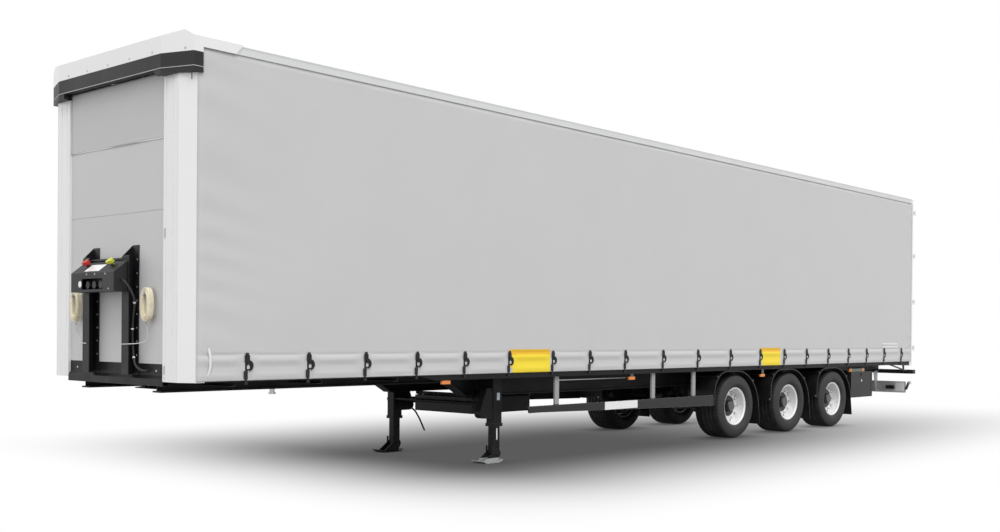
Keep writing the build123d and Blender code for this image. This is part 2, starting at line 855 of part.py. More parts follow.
# Tensioners: a webbing strap, a buckle frame, an over-centre lever, its clamp and a hook under the rave
strap_inner = curtain_face + seat_gap
strap_outer = strap_inner + strap_thickness
lever_angles = [radians(lever_sweep * (2 * i / lever_sides - 1)) for i in range(lever_sides + 1)]
lever_outline = [(-lever_shift - radius * cos(angle), lever_height + radius * sin(angle))
                 for radius, angles in ((lever_radius, lever_angles), (lever_hole_radius, lever_angles[::-1]))
                 for angle in angles]
buckle_places = [along(setback) for setback in buckle_setbacks]
for side, sign in sides:
    with BuildPart() as tensioners:
        with Locations([(x, sign * (strap_inner + strap_outer) / 2, (hook_bottom + strap_top) / 2)
                        for x in buckle_places]):
            Box(strap_width, strap_thickness, strap_top - hook_bottom)
        with Locations([(x, sign * (strap_outer + buckle_frame_reach / 2),
                         (buckle_frame_bottom + buckle_frame_top) / 2) for x in buckle_places]):
            Box(buckle_frame_width, buckle_frame_reach, buckle_frame_top - buckle_frame_bottom)
        lever_plane = strap_outer + buckle_frame_reach if sign > 0 else -strap_outer
        with BuildSketch(Plane.XZ.offset(-lever_plane)) as levers:
            with Locations([(x, 0) for x in buckle_places]):
                Polygon(*lever_outline, align=None)
        extrude(amount=buckle_frame_reach)
        with Locations([(x + clamp_shift, sign * (strap_outer + buckle_reach / 2),
                         (clamp_bottom + clamp_top) / 2) for x in buckle_places]):
            Box(clamp_width, buckle_reach, clamp_top - clamp_bottom)
        with Locations([(x, sign * (rave_face + seat_gap + strap_outer) / 2,
                         (hook_bottom + curtain_bottom) / 2 - buckle_reach / 2) for x in buckle_places]):
            Box(strap_width, strap_outer - rave_face - seat_gap,
                curtain_bottom - hook_bottom - buckle_reach)
    tensioners.part.label = f"tensioners_{side}"
    export_step(tensioners.part, f"parts/tensioners_{side}.step")

# Side posts: pillars behind the curtains that carry the roof rails
with BuildPart() as side_posts:
    for side, sign in sides:
        for setback in side_post_setbacks:
            with BuildSketch(Plane.XY.offset(floor_top)) as pillar:
                with Locations((along(setback), sign * (rave_face - side_post_depth / 2))):
                    Rectangle(side_post_width, side_post_depth)
                    Rectangle(side_post_width - 2 * side_post_wall, side_post_depth - 2 * side_post_wall,
                              mode=Mode.SUBTRACT)
            extrude(amount=rail_bottom - floor_top)
side_posts.part.label = "side_posts"
export_step(side_posts.part, "parts/side_posts.step")

# Roof: a crowned sheet on cross bows
roof_low = rail_top + seat_gap
with BuildPart() as roof_sheet:
    with BuildSketch(Plane.YZ.offset(along(roof_rear))) as roof_section:
        with BuildLine():
            under = ThreePointArc((-roof_half, roof_low), (0, roof_low + roof_crown_rise), (roof_half, roof_low))
            over = ThreePointArc((-roof_half, roof_low + roof_thickness),
                                 (0, roof_low + roof_crown_rise + roof_thickness),
                                 (roof_half, roof_low + roof_thickness))
            Line(under @ 0, over @ 0)
            Line(under @ 1, over @ 1)
        make_face()
    extrude(amount=roof_rear - roof_front)
roof_sheet.part.label = "roof_sheet"
export_step(roof_sheet.part, "parts/roof_sheet.step")

bow_pitch = (rear_frame_front - rail_front) / (bow_count + 1)
bow_setbacks = [rail_front + bow_pitch * (i + 1) for i in range(bow_count)]
bow_top = roof_low - seat_gap
bow_rise = roof_crown_rise * (rail_inner / roof_half) ** 2
with BuildPart() as roof_bows:
    for setback in bow_setbacks:
        with BuildSketch(Plane.YZ.offset(along(setback + bow_width / 2))) as bow_section:
            with BuildLine():
                low_arc = ThreePointArc((-rail_inner, bow_top - bow_height), (0, bow_top - bow_height + bow_rise),
                                        (rail_inner, bow_top - bow_height))
                high_arc = ThreePointArc((-rail_inner, bow_top), (0, bow_top + bow_rise), (rail_inner, bow_top))
                Line(low_arc @ 0, high_arc @ 0)
                Line(low_arc @ 1, high_arc @ 1)
            make_face()
        extrude(amount=bow_width)
roof_bows.part.label = "roof_bows"
export_step(roof_bows.part, "parts/roof_bows.step")

# Rear frame: two corner posts, a header and a sill around the door opening
rear_post_inner = post_side - rear_post_width
frame_rear = body_length
with BuildPart() as rear_frame:
    with Locations([(middle(rear_frame_front, frame_rear), sign * (post_side - rear_post_width / 2),
                     (rear_sill_bottom + rail_top) / 2) for side, sign in sides]):
        Box(frame_rear - rear_frame_front, rear_post_width, rail_top - rear_sill_bottom)
    with Locations((middle(rear_frame_front, frame_rear), 0, (rear_header_bottom + rail_top) / 2)):
        Box(frame_rear - rear_frame_front, 2 * rear_post_inner, rail_top - rear_header_bottom)
    with Locations((middle(rear_frame_front, frame_rear), 0, (rear_sill_bottom + floor_top) / 2)):
        Box(frame_rear - rear_frame_front, 2 * rear_post_inner, floor_top - rear_sill_bottom)
    for side, sign in sides:
        for height in hinge_heights:
            for end in (-1, 1):
                lug_middle = height + end * hinge_height / 3
                with BuildSketch(Plane.XY.offset(lug_middle - hinge_height / 6 + seat_gap)) as lug:
                    with BuildLine():
                        Polyline([(rear_face_x, sign * (post_side - hinge_strap)),
                                  (rear_face_x, sign * post_side),
                                  (hinge_axis_x + hinge_radius, sign * (hinge_axis - seat_gap)),
                                  (hinge_axis_x, sign * (hinge_axis - hinge_radius + seat_gap))], close=True)
                    make_face()
                    with Locations((hinge_axis_x, sign * hinge_axis)):
                        Circle(hinge_radius)
                extrude(amount=hinge_height / 3 - 2 * seat_gap)
            with Locations((hinge_axis_x, sign * hinge_axis, height)):
                Cylinder(hinge_pin_radius, hinge_height)
rear_frame.part.label = "rear_frame"
export_step(rear_frame.part, "parts/rear_frame.step")

# Rear doors: panelled leaves with a raised rim and hinge straps
door_edge = rear_post_inner - door_gap
door_free = door_middle_gap / 2
door_top = rear_header_bottom - door_gap
door_width = door_edge - door_free
door_middle_z = (door_bottom + door_top) / 2
for side, sign in sides:
    with BuildPart() as door:
        with Locations((rear_face_x + door_thickness / 2, sign * (door_edge + door_free) / 2, door_middle_z)):
            Box(door_thickness, door_width, door_top - door_bottom)
        with Locations((rear_face_x + door_skin + (door_thickness - door_skin) / 2,
                        sign * (door_edge + door_free) / 2, door_middle_z)):
            Box(door_thickness - door_skin, door_width - 2 * door_rim, door_top - door_bottom - 2 * door_rim,
                mode=Mode.SUBTRACT)
        for height in hinge_heights:
            with BuildSketch(Plane.XY.offset(height - hinge_height / 6 + seat_gap)) as strap:
                with BuildLine():
                    Polyline([(rear_face_x, sign * (door_edge - hinge_strap_length)),
                              (rear_face_x, sign * (door_edge - hinge_strap)),
                              (rear_face_x - hinge_strap, sign * door_edge),
                              (hinge_axis_x + hinge_pin_radius, sign * (hinge_axis - hinge_radius / 2)),
                              (hinge_axis_x - hinge_pin_radius, sign * (hinge_axis - hinge_radius / 2)),
                              (rear_face_x - 2 * hinge_strap, sign * (door_edge - hinge_strap)),
                              (rear_face_x - hinge_strap, sign * (door_edge - hinge_strap_length))],
                             close=True)
                make_face()
                with Locations((hinge_axis_x, sign * hinge_axis)):
                    Circle(hinge_radius)
                    Circle(hinge_pin_radius + seat_gap, mode=Mode.SUBTRACT)
            extrude(amount=hinge_height / 3 - 2 * seat_gap)
    door.part.label = f"door_{side}"
    export_step(door.part, f"parts/door_{side}.step")

# Lock gear: two bars a door, held by saddle brackets, with hooked cams and a tapered handle
bar_x = rear_face_x - bracket_depth + bar_radius
bar_low = floor_top - door_rim
bar_high = rail_top - bar_radius
handle_x = bar_x - bar_radius
for side, sign in sides:
    with BuildPart() as lock_gear:
        for share, handle_height, handle_way in zip(bar_shares, handle_heights, (-1, 1)):
            bar_y = sign * (door_edge - share * door_width)
            with Locations((bar_x, bar_y, (bar_low + bar_high) / 2)):
                Cylinder(bar_radius, bar_high - bar_low)
            for height in bracket_heights:
                with BuildSketch(Plane.XY.offset(height - bracket_height / 2)) as saddle:
                    with Locations((bar_x, bar_y)):
                        Circle(bar_radius)
                    with Locations((rear_face_x - seat_gap - bracket_foot / 2, bar_y)):
                        Rectangle(bracket_foot, bracket_width)
                    make_hull()
                extrude(amount=bracket_height)
            for end_z in (bar_low, bar_high - 2 * bar_radius):
                with BuildSketch(Plane.XY.offset(end_z)) as cam:
                    with Locations((bar_x, bar_y)):
                        Circle(bar_radius)
                    with Locations((bar_x + bar_radius / 2, bar_y + handle_way * sign * bracket_width / 3)):
                        Circle(bar_radius / 2)
                    make_hull()
                extrude(amount=2 * bar_radius)
            with BuildSketch(Plane.YZ.offset(handle_x)) as handle:
                with Locations((bar_y, handle_height)):
                    Circle(handle_width / 2)
                with Locations((bar_y + handle_way * sign * (handle_length - handle_width / 2), handle_height)):
                    Circle(handle_width / 3)
                make_hull()
            extrude(amount=handle_thickness)
    lock_gear.part.label = f"lock_gear_{side}"
    export_step(lock_gear.part, f"parts/lock_gear_{side}.step")

# Rear buffer bar on four brackets under the sill
buffer_front = body_length + rear_reach - buffer_pad - buffer_depth
with BuildPart() as rear_buffers:
    with Locations((middle(buffer_front, buffer_front + buffer_depth), 0, (buffer_bottom + buffer_top) / 2)):
        Box(buffer_depth, 2 * buffer_half, buffer_top - buffer_bottom)
    for sign in (1, -1):
        with Locations((middle(buffer_front + buffer_depth, body_length + rear_reach),
                        sign * (buffer_half - buffer_end / 2), (buffer_bottom + buffer_top) / 2)):
            Box(buffer_pad, buffer_end, buffer_top - buffer_bottom)
        for place in buffer_bracket_places:
            with BuildSketch(Plane.XZ.offset(-(sign * place + hanger_thickness / 2))) as buffer_bracket:
                with BuildLine():
                    Polyline([(along(buffer_front), buffer_bottom), (along(buffer_front), buffer_top),
                              (along(body_length), rear_sill_bottom),
                              (along(body_length - buffer_bracket_length), rear_sill_bottom),
                              (along(buffer_front - buffer_bracket_length / 2), buffer_bottom)], close=True)
                make_face()
            extrude(amount=hanger_thickness)
rear_buffers.part.label = "rear_buffers"
export_step(rear_buffers.part, "parts/rear_buffers.step")

# Underrun beam: a light box section on two hangers from the chassis beams
tail_slope = (tail_bottom - beam_bottom) / (beam_rear - tail_start)


def beam_underside(setback):
    """The height of the chassis beam's underside in its rising tail."""
    return beam_bottom + (setback - tail_start) * tail_slope


underrun_rear = underrun_setback + underrun_depth
with BuildPart() as underrun_beam:
    with BuildSketch(Plane.XZ.offset(-underrun_half)) as underrun_section:
        with Locations((middle(underrun_setback, underrun_rear), underrun_bottom + underrun_height / 2)):
            Rectangle(underrun_depth, underrun_height)
            Rectangle(underrun_depth - 2 * underrun_wall, underrun_height - 2 * underrun_wall,
                      mode=Mode.SUBTRACT)
    extrude(amount=2 * underrun_half)
    for sign in (1, -1):
        with BuildSketch(Plane.XZ.offset(-(sign * beam_centre + hanger_thickness / 2))) as underrun_hanger:
            with BuildLine():
                Polyline([(along(underrun_setback), underrun_bottom),
                          (along(underrun_setback), beam_underside(underrun_setback)),
                          (along(hanger_front), beam_underside(hanger_front)),
                          (along(underrun_setback - underrun_depth), underrun_bottom)], close=True)
            make_face()
        extrude(amount=hanger_thickness)
underrun_beam.part.label = "underrun_beam"
export_step(underrun_beam.part, "parts/underrun_beam.step")

# Rear lamps on the beam, with a round outline lamp on a slanted arm at each end
with BuildPart() as rear_lamps:
    for sign in (1, -1):
        with Locations((middle(underrun_rear, underrun_rear + lamp_depth), sign * lamp_centre,
                        underrun_bottom + underrun_height / 2)):
            Box(lamp_depth, lamp_width, lamp_height)
        arm_plane = underrun_half + lamp_depth if sign > 0 else -underrun_half
        with BuildSketch(Plane.XZ.offset(-arm_plane)) as lamp_arm_side:
            with Locations((middle(underrun_setback, underrun_rear), underrun_bottom + underrun_height / 3)):
                Circle(lamp_arm_radius)
            with Locations((along(underrun_rear + lamp_arm), underrun_bottom + underrun_height / 3 + lamp_arm_drop)):
                Circle(lamp_arm_radius)
            make_hull()
        extrude(amount=lamp_depth)
        with Locations((along(underrun_rear + lamp_arm), sign * (underrun_half + lamp_depth),
                        underrun_bottom + underrun_height / 3 + lamp_arm_drop)):
            Cylinder(outline_lamp_radius, lamp_depth, rotation=(90, 0, 0))
rear_lamps.part.label = "rear_lamps"
export_step(rear_lamps.part, "parts/rear_lamps.step")

# Landing gear: two like telescopic legs, the right one turned round, on rocking feet, with a cross shaft
leg_place = leg_spacing / 2
beam_side = beam_centre + beam_web / 2
bracket_reach = leg_place + leg_tube / 2 - beam_side
foot_start = leg_setback - foot_front
foot_end = foot_start + foot_length
with BuildPart() as landing_gear:
    for side, sign in sides:
        y = sign * leg_place
        with BuildSketch(Plane.XY.offset(leg_outer_bottom)) as outer_tube:
            with Locations((along(leg_setback), y)):
                RectangleRounded(leg_tube, leg_tube, leg_round)
        extrude(amount=leg_top - leg_outer_bottom)
        with BuildSketch(Plane.XY.offset(leg_outer_bottom)) as collar:
            with Locations((along(leg_setback), y)):
                RectangleRounded(leg_tube + 2 * leg_collar, leg_tube + 2 * leg_collar, leg_round)
        extrude(amount=leg_collar_height)
        with BuildSketch(Plane.XY.offset(foot_pin_height)) as inner_tube:
            with Locations((along(leg_setback), y)):
                RectangleRounded(leg_inner, leg_inner, leg_round)
        extrude(amount=leg_outer_bottom - foot_pin_height)
        case_side = y + gearbox_width / 2
        with BuildSketch(Plane.XZ.offset(-case_side)) as gear_case:
            with Locations((along(leg_setback - sign * (leg_tube / 2 + gearbox_length - gearbox_boss_radius)),
                            gearbox_bottom + gearbox_boss_radius)):
                Circle(gearbox_boss_radius)
            with Locations((along(leg_setback - sign * (leg_tube + gearbox_neck_length) / 2),
                            (gearbox_bottom + gearbox_top) / 2)):
                Rectangle(gearbox_neck_length, gearbox_top - gearbox_bottom)
            make_hull()
        extrude(amount=gearbox_width)
        with Locations((along(leg_setback), sign * (beam_side + bracket_plate_thickness / 2),
                        (beam_bottom + beam_flange_thickness + leg_top) / 2)):
            Box(bracket_plate_length, bracket_plate_thickness, leg_top - beam_bottom - beam_flange_thickness)
        for end in (1, -1):
            rib_x = along(leg_setback) + end * (leg_tube + bracket_plate_thickness) / 2
            with BuildSketch(Plane.YZ.offset(rib_x - bracket_plate_thickness / 2)) as bracket_rib:
                with BuildLine():
                    Polyline([(sign * beam_side, beam_bottom + beam_flange_thickness),
                              (sign * beam_side, leg_top), (sign * (beam_side + bracket_reach), leg_top),
                              (sign * (beam_side + bracket_reach), bracket_plate_bottom)], close=True)
                make_face()
            extrude(amount=bracket_plate_thickness)
        with BuildSketch(Plane.XZ.offset(-(y + foot_width / 2))) as sole:
            with BuildLine():
                Polyline([(along(foot_start), foot_turn_up), (along(foot_start + foot_turn_length), 0),
                          (along(foot_end - foot_turn_length), 0), (along(foot_end), foot_turn_up),
                          (along(foot_end), foot_turn_up + foot_thickness),
                          (along(foot_end - foot_turn_length), foot_thickness),
                          (along(foot_start + foot_turn_length), foot_thickness),
                          (along(foot_start), foot_turn_up + foot_thickness)], close=True)
            make_face()
        extrude(amount=foot_width)
        for ear in (1, -1):
            ear_y = y + ear * (leg_inner / 2 + hanger_thickness / 2)
            with BuildSketch(Plane.XZ.offset(-(ear_y + hanger_thickness / 2))) as foot_ear:
                with Locations((along(leg_setback), foot_pin_height)):
                    Circle(foot_ear_radius)
                with Locations((middle(foot_start + foot_turn_length, foot_end - foot_turn_length),
                                foot_thickness)):
                    Rectangle(foot_length - 2 * foot_turn_length, foot_thickness)
                make_hull()
                with Locations((along(leg_setback - leg_inner / 2 - hanger_thickness), foot_height / 2)):
                    Rectangle(2 * hanger_thickness, foot_height - foot_thickness)
            extrude(amount=hanger_thickness)
        with Locations((along(leg_setback), y, foot_pin_height)):
            Cylinder(foot_pin_radius, leg_inner + 4 * hanger_thickness, rotation=(90, 0, 0))
    with Locations((along(shaft_setback), 0, shaft_height)):
        Cylinder(shaft_radius, 2 * leg_place, rotation=(90, 0, 0))
    crank_points = [Vector(along(b), -leg_place, z) for b, z in crank_arm_route]
    with BuildLine() as crank_line:
        FilletPolyline(crank_points, radius=leg_tube)
    with BuildSketch(Plane(origin=crank_points[0], z_dir=crank_points[1] - crank_points[0])):
        Circle(crank_radius)
    sweep()
landing_gear.part.label = "landing_gear"
export_step(landing_gear.part, "parts/landing_gear.step")

# Underslung box on two cross straps
with BuildPart() as underslung_box:
    with Locations((middle(box2_front, box2_rear), 0, (box2_bottom + box2_top) / 2)):
        Box(box2_rear - box2_front, 2 * box2_half, box2_top - box2_bottom)
    for share in (1 / 6, 5 / 6):
        with Locations((along(box2_front + share * (box2_rear - box2_front)), 0, (box2_top + beam_bottom) / 2)):
            Box(box2_strap, beam_spacing, beam_bottom - box2_top)
underslung_box.part.label = "underslung_box"
export_step(underslung_box.part, "parts/underslung_box.step")

# Side guards: one deep rail a side, shallower at its front, on channel posts from the rave
guard_inner = guard_face - guard_thickness
with BuildPart() as side_guards:
    for side, sign in sides:
        rail_plane = guard_face if sign > 0 else -guard_inner
        with BuildSketch(Plane.XZ.offset(-rail_plane)) as guard_rail:
            with BuildLine():
                Polyline([(along(guard_front), guard_top), (along(guard_front + guard_tip), guard_front_bottom),
                          (along(guard_front + guard_tip_length), guard_front_bottom),
                          (along(guard_rear), guard_bottom), (along(guard_rear), guard_top)], close=True)
            make_face()
        extrude(amount=guard_thickness)
        for setback in guard_post_setbacks:
            with Locations((along(setback), sign * (guard_inner - guard_post_depth / 2),
                            (guard_front_bottom + rave_bottom) / 2)):
                Box(guard_post_width, guard_post_depth, rave_bottom - guard_front_bottom)
            with Locations((along(setback), sign * (guard_inner - (guard_post_depth + guard_post_wall) / 2),
                            (guard_front_bottom + rave_bottom) / 2)):
                Box(guard_post_width - 2 * guard_post_wall, guard_post_depth - guard_post_wall,
                    rave_bottom - guard_front_bottom, mode=Mode.SUBTRACT)
side_guards.part.label = "side_guards"
export_step(side_guards.part, "parts/side_guards.step")

# Axles: a tube with drums, brake chambers and spindles, clamped to trailing arms that swing in hangers
wheel_place = wheel_track / 2
rim_outer = wheel_place + rim_width / 2
disc_outer = rim_outer - rim_dish
disc_inner = disc_outer - rim_disc
hub_inner = disc_inner - hub_length
brake_outer = hub_inner - moving_gap
brake_inner = brake_outer - brake_width
arm_crest = tyre_radius + axle_radius + arm_waist
arm_foot = tyre_radius - axle_radius - clamp_plate_thickness
hanger_plate_place = (arm_width + hanger_thickness) / 2
axle_half_profile = [(0, 0), (axle_radius, 0), (axle_radius, brake_inner), (brake_radius, brake_inner),
                     (brake_radius, brake_inner + brake_plate), (brake_drum_radius, brake_inner + 2 * brake_plate),
                     (brake_drum_radius, brake_outer - brake_plate), (brake_radius, brake_outer - brake_plate),
                     (brake_radius, brake_outer), (spindle_radius, brake_outer),
                     (spindle_radius, brake_outer + spindle_length), (0, brake_outer + spindle_length)]
with BuildPart() as axle_turning:
    with BuildSketch(Plane.XY) as axle_half:
        with BuildLine():
            Polyline(axle_half_profile, close=True)
        make_face()
    revolve(axis=Axis.Y)
    mirror(about=Plane.XZ)

with BuildPart() as axles:
    for setback in axle_setbacks:
        add(axle_turning.part.moved(Location((along(setback), 0, tyre_radius))))
        for sign in (1, -1):
            arm_plane = sign * beam_centre + arm_width / 2
            with BuildSketch(Plane.XZ.offset(-arm_plane)) as arm:
                with BuildLine():
                    Polyline([(along(setback - arm_front), spring_base - arm_waist),
                              (along(setback - arm_front), spring_base + arm_eye_radius / 2),
                              (along(setback - axle_radius), arm_crest),
                              (along(setback + axle_radius), arm_crest),
                              (along(setback + spring_setback - spring_radius), spring_base - seat_gap),
                              (along(setback + arm_rear), spring_base - seat_gap),
                              (along(setback + arm_rear), spring_base - seat_gap - arm_tip),
                              (along(setback + axle_radius), tyre_radius),
                              (along(setback - axle_radius), tyre_radius)], close=True)
                make_face()
                with Locations((along(setback - arm_front), spring_base)):
                    Circle(arm_eye_radius)
            extrude(amount=arm_width)
            with Locations((along(setback), sign * beam_centre, (arm_foot + tyre_radius) / 2)):
                Box(clamp_plate_length, clamp_plate_width, tyre_radius - arm_foot)
            for face in (1, -1):
                plate_y = sign * beam_centre + face * hanger_plate_place
                with BuildSketch(Plane.XZ.offset(-(plate_y + hanger_thickness / 2))) as hanger_plate:
                    with Locations((along(setback - arm_front), spring_base)):
                        Circle(hanger_boss_radius)
                    with Locations((along(setback - arm_front), beam_bottom - hanger_thickness / 2)):
                        Rectangle(hanger_length, hanger_thickness)
                    make_hull()
                extrude(amount=hanger_thickness)
            with Locations((along(setback - arm_front - hanger_boss_radius), sign * beam_centre,
                            (spring_base + arm_eye_radius + hanger_thickness + beam_bottom) / 2)):
                Box(hanger_thickness, arm_width, beam_bottom - spring_base - arm_eye_radius - hanger_thickness)
            with Locations((along(setback - arm_front), sign * beam_centre, spring_base)):
                Cylinder(hanger_bolt_radius, arm_width + 4 * hanger_thickness, rotation=(90, 0, 0))
            with Locations((along(setback + axle_radius + chamber_length / 2), sign * chamber_place,
                            tyre_radius + chamber_rise)):
                Cylinder(chamber_radius, chamber_length, rotation=(0, 90, 0))
            with Locations((along(setback + axle_radius / 2), sign * chamber_place,
                            tyre_radius + chamber_rise / 2)):
                Box(axle_radius, hanger_thickness, chamber_rise + chamber_radius)
axles.part.label = "axles"
export_step(axles.part, "parts/axles.step")

# Air springs: a piston, a rolling bellows and a top plate, turned as one, between the arms and the beams
with BuildPart() as air_spring:
    with BuildSketch(Plane.XZ) as bellows:
        with BuildLine():
            Polyline([(spring_waist_radius, spring_base + spring_waist_height),
                      (spring_piston_radius, spring_base), (0, spring_base), (0, beam_bottom),
                      (spring_plate_radius, beam_bottom),
                      (spring_plate_radius, beam_bottom - spring_plate_height)])
            ThreePointArc((spring_plate_radius, beam_bottom - spring_plate_height),
                          (spring_radius, (beam_bottom + spring_base + spring_waist_height) / 2),
                          (spring_waist_radius, spring_base + spring_waist_height))
        make_face()
    revolve(axis=Axis.Z)
with BuildPart() as air_springs:
    for setback in axle_setbacks:
        for sign in (1, -1):
            add(air_spring.part.moved(Location((along(setback + spring_setback), sign * beam_centre, 0))))
air_springs.part.label = "air_springs"
export_step(air_springs.part, "parts/air_springs.step")

# Mudguards: a shell with an upright front, a rounded top and a long rear sweep, with turned-down
# edges, a splayed flap behind and two tubular stays
stay_inner = beam_side + seat_gap
stay_end = wheel_place + mudguard_width / 2
flap_top = mudguard_top - mudguard_rear_radius
front_centre = (mudguard_front - mudguard_front_radius, mudguard_top - mudguard_front_radius)


def mudguard_section(x, wall):
    """The shell's outline over a wheel at x: an outer path and, a wall inside it, its inner path."""
    for radius_cut in (0, wall):
        front = x + mudguard_front - radius_cut
        top = mudguard_top - radius_cut
        Line((front, mudguard_front_end), (front, front_centre[1]))
        CenterArc((x + front_centre[0], front_centre[1]), mudguard_front_radius - radius_cut, 0, 90)
        Line((x + front_centre[0], top), (x, top))
        CenterArc((x, flap_top), mudguard_rear_radius - radius_cut, 90, 90)
    Line((x + mudguard_front, mudguard_front_end), (x + mudguard_front - wall, mudguard_front_end))
    Line((x - mudguard_rear_radius, flap_top), (x - mudguard_rear_radius + wall, flap_top))


with BuildPart() as mudguards:
    for setback in axle_setbacks:
        for sign in (1, -1):
            guard_plane = sign * wheel_place + mudguard_width / 2
            with BuildSketch(Plane.XZ.offset(-guard_plane)) as shell:
                with BuildLine():
                    mudguard_section(along(setback), mudguard_wall)
                make_face()
            extrude(amount=mudguard_width)
            for lip_plane in (guard_plane, guard_plane - mudguard_width + mudguard_wall):
                with BuildSketch(Plane.XZ.offset(-lip_plane)) as lip:
                    with BuildLine():
                        mudguard_section(along(setback), mudguard_lip)
                    make_face()
                extrude(amount=mudguard_wall)
            with BuildSketch(Plane.XZ.offset(-guard_plane)) as flap:
                with BuildLine():
                    Polyline([(along(setback + mudguard_rear_radius), flap_top),
                              (along(setback + mudguard_rear_radius - flap_thickness), flap_top),
                              (along(setback + mudguard_rear_radius + flap_splay - flap_thickness), flap_bottom),
                              (along(setback + mudguard_rear_radius + flap_splay), flap_bottom)], close=True)
                make_face()
            extrude(amount=mudguard_width)
            stay_reach = [(front_centre[0], front_centre[1], mudguard_front_radius, 1),
                          (0, flap_top, mudguard_rear_radius, -1)]
            for centre_run, centre_height, radius, way in stay_reach:
                stay_circle = (radius + stay_radius - stay_bite) * cos(pi / 4)
                with Locations((along(setback) + centre_run + way * stay_circle,
                                sign * (stay_inner + stay_end) / 2, centre_height + stay_circle)):
                    Cylinder(stay_radius, stay_end - stay_inner, rotation=(90, 0, 0))
mudguards.part.label = "mudguards"
export_step(mudguards.part, "parts/mudguards.step")

# Wheels: a many-sided tyre, flat side down, and a turned drop-centre rim with its hub, one body each
tyre_half = tyre_width / 2
rim_half = rim_width / 2
bead_half = rim_half - rim_flange_width - seat_gap
tyre_turn = 180 / tyre_sides
tyre_stations = [(rim_half, rim_flange + seat_gap), (tyre_half, tyre_bulge_radius),
                 (tyre_shoulder_half, tyre_shoulder_radius), (tyre_tread_half, tyre_radius)]
tyre_stations += [(-y, radius) for y, radius in reversed(tyre_stations)]
with BuildPart() as tyre:
    for y, radius in tyre_stations:
        with BuildSketch(Plane.XZ.offset(-y)):
            RegularPolygon(radius, tyre_sides, major_radius=False, rotation=tyre_turn)
    loft(ruled=True)
    with BuildSketch(Plane.XZ.offset(-(rim_half + cut_over))) as bore:
        RegularPolygon(rim_seat + seat_gap, tyre_sides, major_radius=False, rotation=tyre_turn)
    extrude(amount=2 * (rim_half + cut_over), mode=Mode.SUBTRACT)
    for sign in (1, -1):
        with BuildSketch(Plane.XZ.offset(-sign * bead_half)) as bead_pocket:
            RegularPolygon(rim_flange + seat_gap, tyre_sides, major_radius=False, rotation=tyre_turn)
        extrude(amount=-sign * (rim_half + cut_over - bead_half), mode=Mode.SUBTRACT)

rim_inner = rim_seat - rim_wall
disc_face = rim_half - rim_dish
disc_back = disc_face - rim_disc
hub_back = disc_back - hub_length
bore_end = hub_back - moving_gap + spindle_length + moving_gap
well_back = rim_well_front - rim_well_slope - rim_well_width
well_radius = rim_seat - rim_well_depth
hub_face = disc_face + hub_rise
with BuildPart() as rim:
    with BuildSketch(Plane.XY) as rim_section:
        with BuildLine():
            Polyline([(0, bore_end), (spindle_radius + seat_gap, bore_end),
                      (spindle_radius + seat_gap, hub_back), (hub_radius, hub_back),
                      (hub_radius, disc_back), (rim_disc_flat, disc_back),
                      (rim_inner, disc_back - rim_disc_rise), (rim_inner, rim_well_front),
                      (well_radius - rim_wall, rim_well_front - rim_well_slope),
                      (well_radius - rim_wall, well_back), (rim_inner, well_back - rim_well_slope),
                      (rim_inner, -rim_half), (rim_flange, -rim_half),
                      (rim_flange, rim_flange_width - rim_half), (rim_seat, rim_flange_width - rim_half),
                      (rim_seat, well_back - rim_well_slope), (well_radius, well_back),
                      (well_radius, rim_well_front - rim_well_slope), (rim_seat, rim_well_front),
                      (rim_seat, rim_half - rim_flange_width), (rim_flange, rim_half - rim_flange_width),
                      (rim_flange, rim_half), (rim_flange - rim_lip, rim_half),
                      (rim_inner, rim_half - rim_lip), (rim_inner, disc_face - rim_disc_rise),
                      (rim_disc_flat, disc_face), (hub_radius + hub_groove, disc_face),
                      (hub_radius + hub_groove, disc_face - hub_groove_depth),
                      (hub_radius, disc_face - hub_groove_depth), (hub_radius, hub_face),
                      (hub_cap_radius, hub_face), (hub_cap_radius, hub_face + hub_cap_length - hub_cap_bevel),
                      (hub_cap_radius - hub_cap_bevel, hub_face + hub_cap_length),
                      (0, hub_face + hub_cap_length)], close=True)
        make_face()
    revolve(axis=Axis.Y)
    with BuildSketch(Plane.XZ.offset(-disc_face)) as hand_holes:
        with PolarLocations(hand_hole_circle, hand_hole_count):
            Circle(hand_hole_radius)
    extrude(amount=3 * rim_disc, both=True, mode=Mode.SUBTRACT)
    with BuildSketch(Plane.XZ.offset(-(disc_face + stud_length))) as studs:
        with PolarLocations(stud_circle, stud_count):
            RegularPolygon(stud_radius, 6)
    extrude(amount=stud_length)

for number, setback in enumerate(axle_setbacks, start=1):
    for side, sign in sides:
        place = Location((along(setback), sign * wheel_place, tyre_radius), (0, 0, 0 if sign > 0 else 180))
        for name, piece in (("tyre", tyre.part), ("rim", rim.part)):
            placed = piece.moved(place)
            placed.label = f"{name}_{number}_{side}"
            export_step(placed, f"parts/{placed.label}.step")

